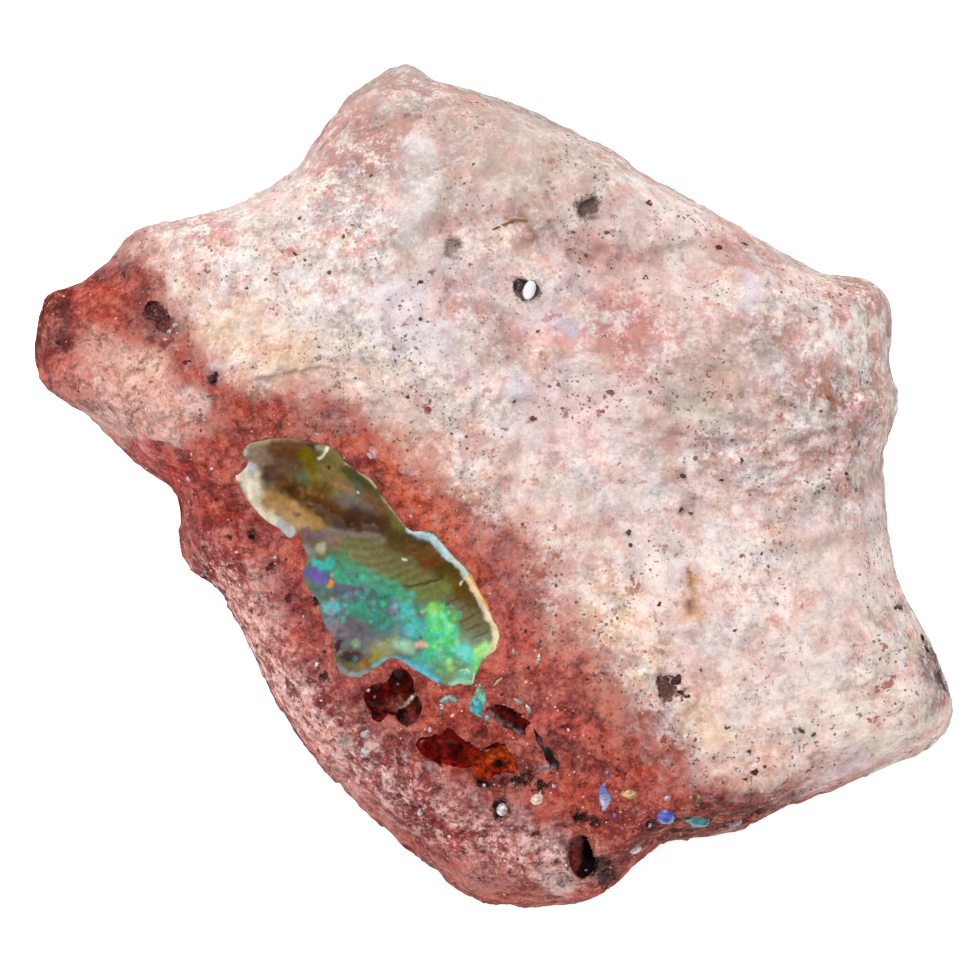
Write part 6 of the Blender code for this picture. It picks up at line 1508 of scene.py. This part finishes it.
# Each filling: its slot, how finely its ball is divided, how far its face lies under the rock's and
# dips in the middle, its depth, its drops, its own colour and the strokes on it.
FILLINGS = {
    "fire_opal_pool": ("fire_opal", 6, 0.0, 0.1, 0.6, POOL_DROPS, "#9A200A", POOL_COLOURS),
    "cherry_opal_cluster": ("cherry_opal", 6, 0.12, 0.5, 0.7, CHERRY_DROPS, "#5A100E", CHERRY_COLOURS),
    "dark_opal_pocket": ("cherry_opal", 6, 0.15, 0.9, 0.9, [], "#3A1618", POCKET_COLOURS),
    "smoky_opal_bar": ("smoky_opal", 5, -0.01, 0.05, 0.4, [], "#44141A", BAR_COLOURS),
    "smoky_opal_vein": ("smoky_opal", 5, -0.06, 0.04, 0.4, [], "#3C3236", VEIN_COLOURS),
}
for name, (slot, divided, sink, dish, depth, drops, base, strokes) in FILLINGS.items():
    form, x, y = lay_in(name, divided, sink, dish, depth, drops)
    drift = wander(x, y, [(0.5, 0.08), (0.16, 0.04)])
    tone = paint(np.tile(tint(base), (len(x), 1)), x, y, strokes, drift)
    add_piece(name + "_glass", form, clear_red_opal, slot, [name], tone=tone)


# ---- Small fillings --------------------------------------------------------------------------------
# Opal that filled the rock's small gas bubbles: the turquoise splinter under the lens, and single
# beads and grains of blue, lavender, teal, yellow, milky and clear opal.

# Common opal is milky glass with no play of colour, cloudy inside and glossy.
milky_opal, tree, shader = new_material("milky_common_opal", 0.16, 0.5)
colour = add(tree, "Attribute", {"attribute_name": "tone"}).outputs["Color"]
cloudiness = add(tree, "Attribute", {"attribute_name": "cloudy"}).outputs["Fac"]
colour = clouded(tree, colour, 3.6, 4.0, 0.7, 0.38, 0.6, "#A08CA0", "#FFFFFF", cloudiness)
tree.links.new(colour, shader.inputs["Base Color"])
shader.inputs["IOR"].default_value = OPAL_IOR
shader.inputs["Coat Weight"].default_value = 0.3

SLIVER_COLOURS = [
    ("#40BAC0", 0.25, 0.2, 0.95, (-1.05, -10.9), (-0.95, -11.3)),
    ("#7CC8A8", 0.15, 0.2, 0.9, (-0.8, -10.1), (-0.75, -10.6)),
    ("#2C9AA0", 0.06, 0.1, 0.8, (-1.2, -10.9), (-1.0, -11.45)),
    ("#8CC87C", 0.06, 0.1, 0.7, (-0.7, -10.0), (-0.9, -10.4)),
    ("#2A8C98", 0.06, 0.1, 0.7, (-0.8, -10.9), (-0.75, -11.4)),
]
form, x, y = lay_in("turquoise_opal_sliver", 5, -0.03, -0.05, 0.4)
tone = paint(np.tile(tint("#46B4A4"), (len(x), 1)), x, y, SLIVER_COLOURS, wander(x, y, [(0.3, 0.1)]))
add_piece(
    "turquoise_opal_splinter", form, milky_opal, "blue_green_opal", ["turquoise_opal_sliver"],
    tone=tone, cloudy=np.ones(len(x)),
)  # fmt: skip

# Each bead: x, y, half length, half width, turn, how far it stands out, how uneven it is, slot, main
# colour, the lighter colour painted as light on one side, and the compass angle of that side.
BEADS = {
    "lavender_opal_streak": (
        5.42, -15.3, 0.85, 0.4, -87, 0.08, 0.18, "blue_violet_opal", "#6A76B4", "#D0D8F0", -90,
    ),
    "blue_opal_bead": (
        8.45, -16.4, 0.5, 0.5, 0, 0.38, 0.08, "blue_violet_opal", "#4A60C0", "#8AA0EC", 110,
    ),
    "teal_opal_grain": (
        9.98, -16.65, 0.66, 0.46, -15, 0.16, 0.35, "blue_green_opal", "#2E98A0", "#78D0C4", 160,
    ),
    "yellow_opal_grain": (
        6.68, -15.35, 0.46, 0.28, -10, 0.1, 0.25, "milky_opal", "#D8B070", "#E8C890", 90,
    ),
    # partly a milky bead, partly a painted highlight on the lower wall of its dark hollow
    "milky_opal_bead": (0.33, -16.2, 0.34, 0.32, 60, 0.1, 0.1, "milky_opal", "#E4DED4", "#FFFDF8", 90),
    "cream_opal_bead": (2.1, -15.5, 0.46, 0.4, 60, 0.1, 0.12, "milky_opal", "#E8D4BC", "#FCF4E8", 120),
    "white_opal_bead": (
        6.95, -18.15, 0.36, 0.3, 20, 0.12, 0.2, "milky_opal", "#D0CCCC", "#F8F6F6", 120,
    ),
    # painted light: the drop's pure white stands for the bright light seen in this pit
    "clear_opal_drop": (1.66, 9.72, 0.5, 0.31, 72, 0.14, 0.04, "clear_opal", "#E8E4EC", "#FFFFFF", -90),
}


def lit_side_tones(verts, x, y, half_length, first, lit_colour, side):
    """A bead's colours: the first, passing into the lighter one, painted light, on the side of that
    compass angle.
    """
    a = math.radians(side)
    co = np.array([v.co for v in verts]) / MM
    share = ((co[:, 0] - x) * math.cos(a) + (co[:, 1] - y) * math.sin(a)) / half_length
    share = np.clip(share * 1.2, 0, 1)[:, None]
    return np.array(tint(first)) * (1 - share) + np.array(tint(lit_colour)) * share


for name, bead in BEADS.items():
    px, py, half_length, half_width, turn, rise, uneven, slot, first, lit_colour, side = bead
    form = bmesh.new()
    fresh = bed_in(form, 4, px, py, half_length, half_width, half_width * 0.9, turn, rise)
    # The bead's lighter colour is painted light on one side.
    tone = lit_side_tones(fresh, px, py, half_length, first, lit_colour, side)
    roughen(fresh, half_width, 2.5, uneven)
    cloudy = np.full(len(fresh), 0.15 if slot == "clear_opal" else 1.0)
    add_piece(name + "_glass", form, milky_opal, slot, [name], tone=tone, cloudy=cloudy)

GRAINS = [  # x, y, half length, half width, turn, main colour and the lighter colour painted as light on one side
    (-2.4, -10.64, 0.46, 0.26, 0, "#7CA89C", "#B8D0C0"),
    (-2.71, -11.0, 0.13, 0.13, 0, "#D8E0DC", "#FFFFFF"),
    (-0.43, -11.58, 0.15, 0.12, 0, "#5AD0E0", "#B0F0F4"),
    (0.1, -9.75, 0.3, 0.08, 40, "#C09A60", "#D8C088"),
    (1.1, -10.72, 0.28, 0.08, -30, "#B0A8A0", "#D8D4CC"),
    (1.6, -11.1, 0.24, 0.1, -65, "#A8B8B8", "#E0ECEC"),
    (2.1, -8.65, 0.3, 0.12, 85, "#D0B8A0", "#F0E4D4"),
    (0.9, -8.3, 0.22, 0.16, 60, "#B88878", "#D0A898"),
    # a painted glint, made as a white grain
    (-3.31, -12.16, 0.13, 0.12, 0, "#C8B8B0", "#FFFFFF"),
    (-2.78, -11.44, 0.17, 0.15, 0, "#4A2A18", "#8A5A3C"),
    (-2.75, -11.86, 0.2, 0.15, 0, "#7A1C14", "#9A3020"),
    # a painted glint in the dark hole beside it
    (-0.58, -14.93, 0.1, 0.09, 0, "#E0D8C8", "#FFFFFF"),
    (5.9, -16.4, 0.16, 0.13, 0, "#5A4A98", "#7A70B8"),
    (6.85, -16.2, 0.14, 0.16, 0, "#6A6A48", "#8C8C70"),
    (8.55, -15.55, 0.2, 0.16, 30, "#C0A8CC", "#F0E4F4"),
    (10.06, -15.66, 0.14, 0.26, 0, "#5A6440", "#7C8A60"),
    (9.38, -16.52, 0.28, 0.14, -20, "#1E3C4C", "#3C6478"),
    (12.0, -16.85, 0.36, 0.18, 18, "#98A0B4", "#C8CCD8"),
    # a painted glint in the dark pit here
    (7.65, -16.9, 0.12, 0.1, 0, "#E8E4E0", "#FFFFFF"),
    (-6.3, 1.5, 0.24, 0.12, -40, "#D8B8C8", "#F4E8F0"),
    (-6.54, -13.3, 0.28, 0.22, 60, "#C8C0B8", "#E8E4E0"),
    (-6.5, -12.4, 0.26, 0.2, 0, "#B0A4A4", "#D0C8C8"),
    (-3.8, -16.3, 0.14, 0.2, 0, "#D8CCC4", "#F0E8E4"),
    (-13.1, 5.9, 0.16, 0.14, 0, "#B8B0C4", "#DCD8E4"),
    (-15.3, 0.35, 0.16, 0.13, 30, "#D8C8C0", "#F4ECE8"),
    (-14.15, 0.85, 0.13, 0.1, 0, "#E0D0C8", "#FFF8F4"),
    (-1.6, -16.9, 0.14, 0.12, 0, "#D0C0B8", "#E8DCD8"),
    (-8.9, -8.9, 0.16, 0.1, 60, "#E0D4CC", "#FFFFFF"),
    (5.55, -14.35, 0.12, 0.2, 0, "#8088B4", "#A8B0D4"),
    # a painted glint
    (5.4, -16.1, 0.11, 0.11, 0, "#C0D0F0", "#FFFFFF"),
    (9.9, -16.95, 0.2, 0.1, 20, "#3CA898", "#90DCC8"),
    (2.9, -15.0, 0.12, 0.09, 0, "#E0C8B8", "#FFF4EC"),
    (2.5, -14.0, 0.42, 0.12, 20, "#76607C", "#A08CA8"),
    (-11.0, -3.55, 0.12, 0.09, 40, "#D8C8C0", "#FFFFFF"),
    (-12.9, -3.3, 0.12, 0.1, 0, "#D8C0B8", "#F8ECE8"),
]  # fmt: skip
grains = bmesh.new()
tones = []
for px, py, half_length, half_width, turn, first, lit_colour in GRAINS:
    fresh = bed_in(grains, 3, px, py, half_length, half_width, half_width * 0.8, turn, 0.06)
    # Each grain is painted lighter on the side towards the peak-side lamp: painted light.
    tones.append(lit_side_tones(fresh, px, py, half_length, first, lit_colour, 110))
    roughen(fresh, half_width, 5.0, 0.5)
tones = np.vstack(tones)
add_piece("opal_grains", grains, milky_opal, "milky_opal", tone=tones, cloudy=np.ones(len(tones)))
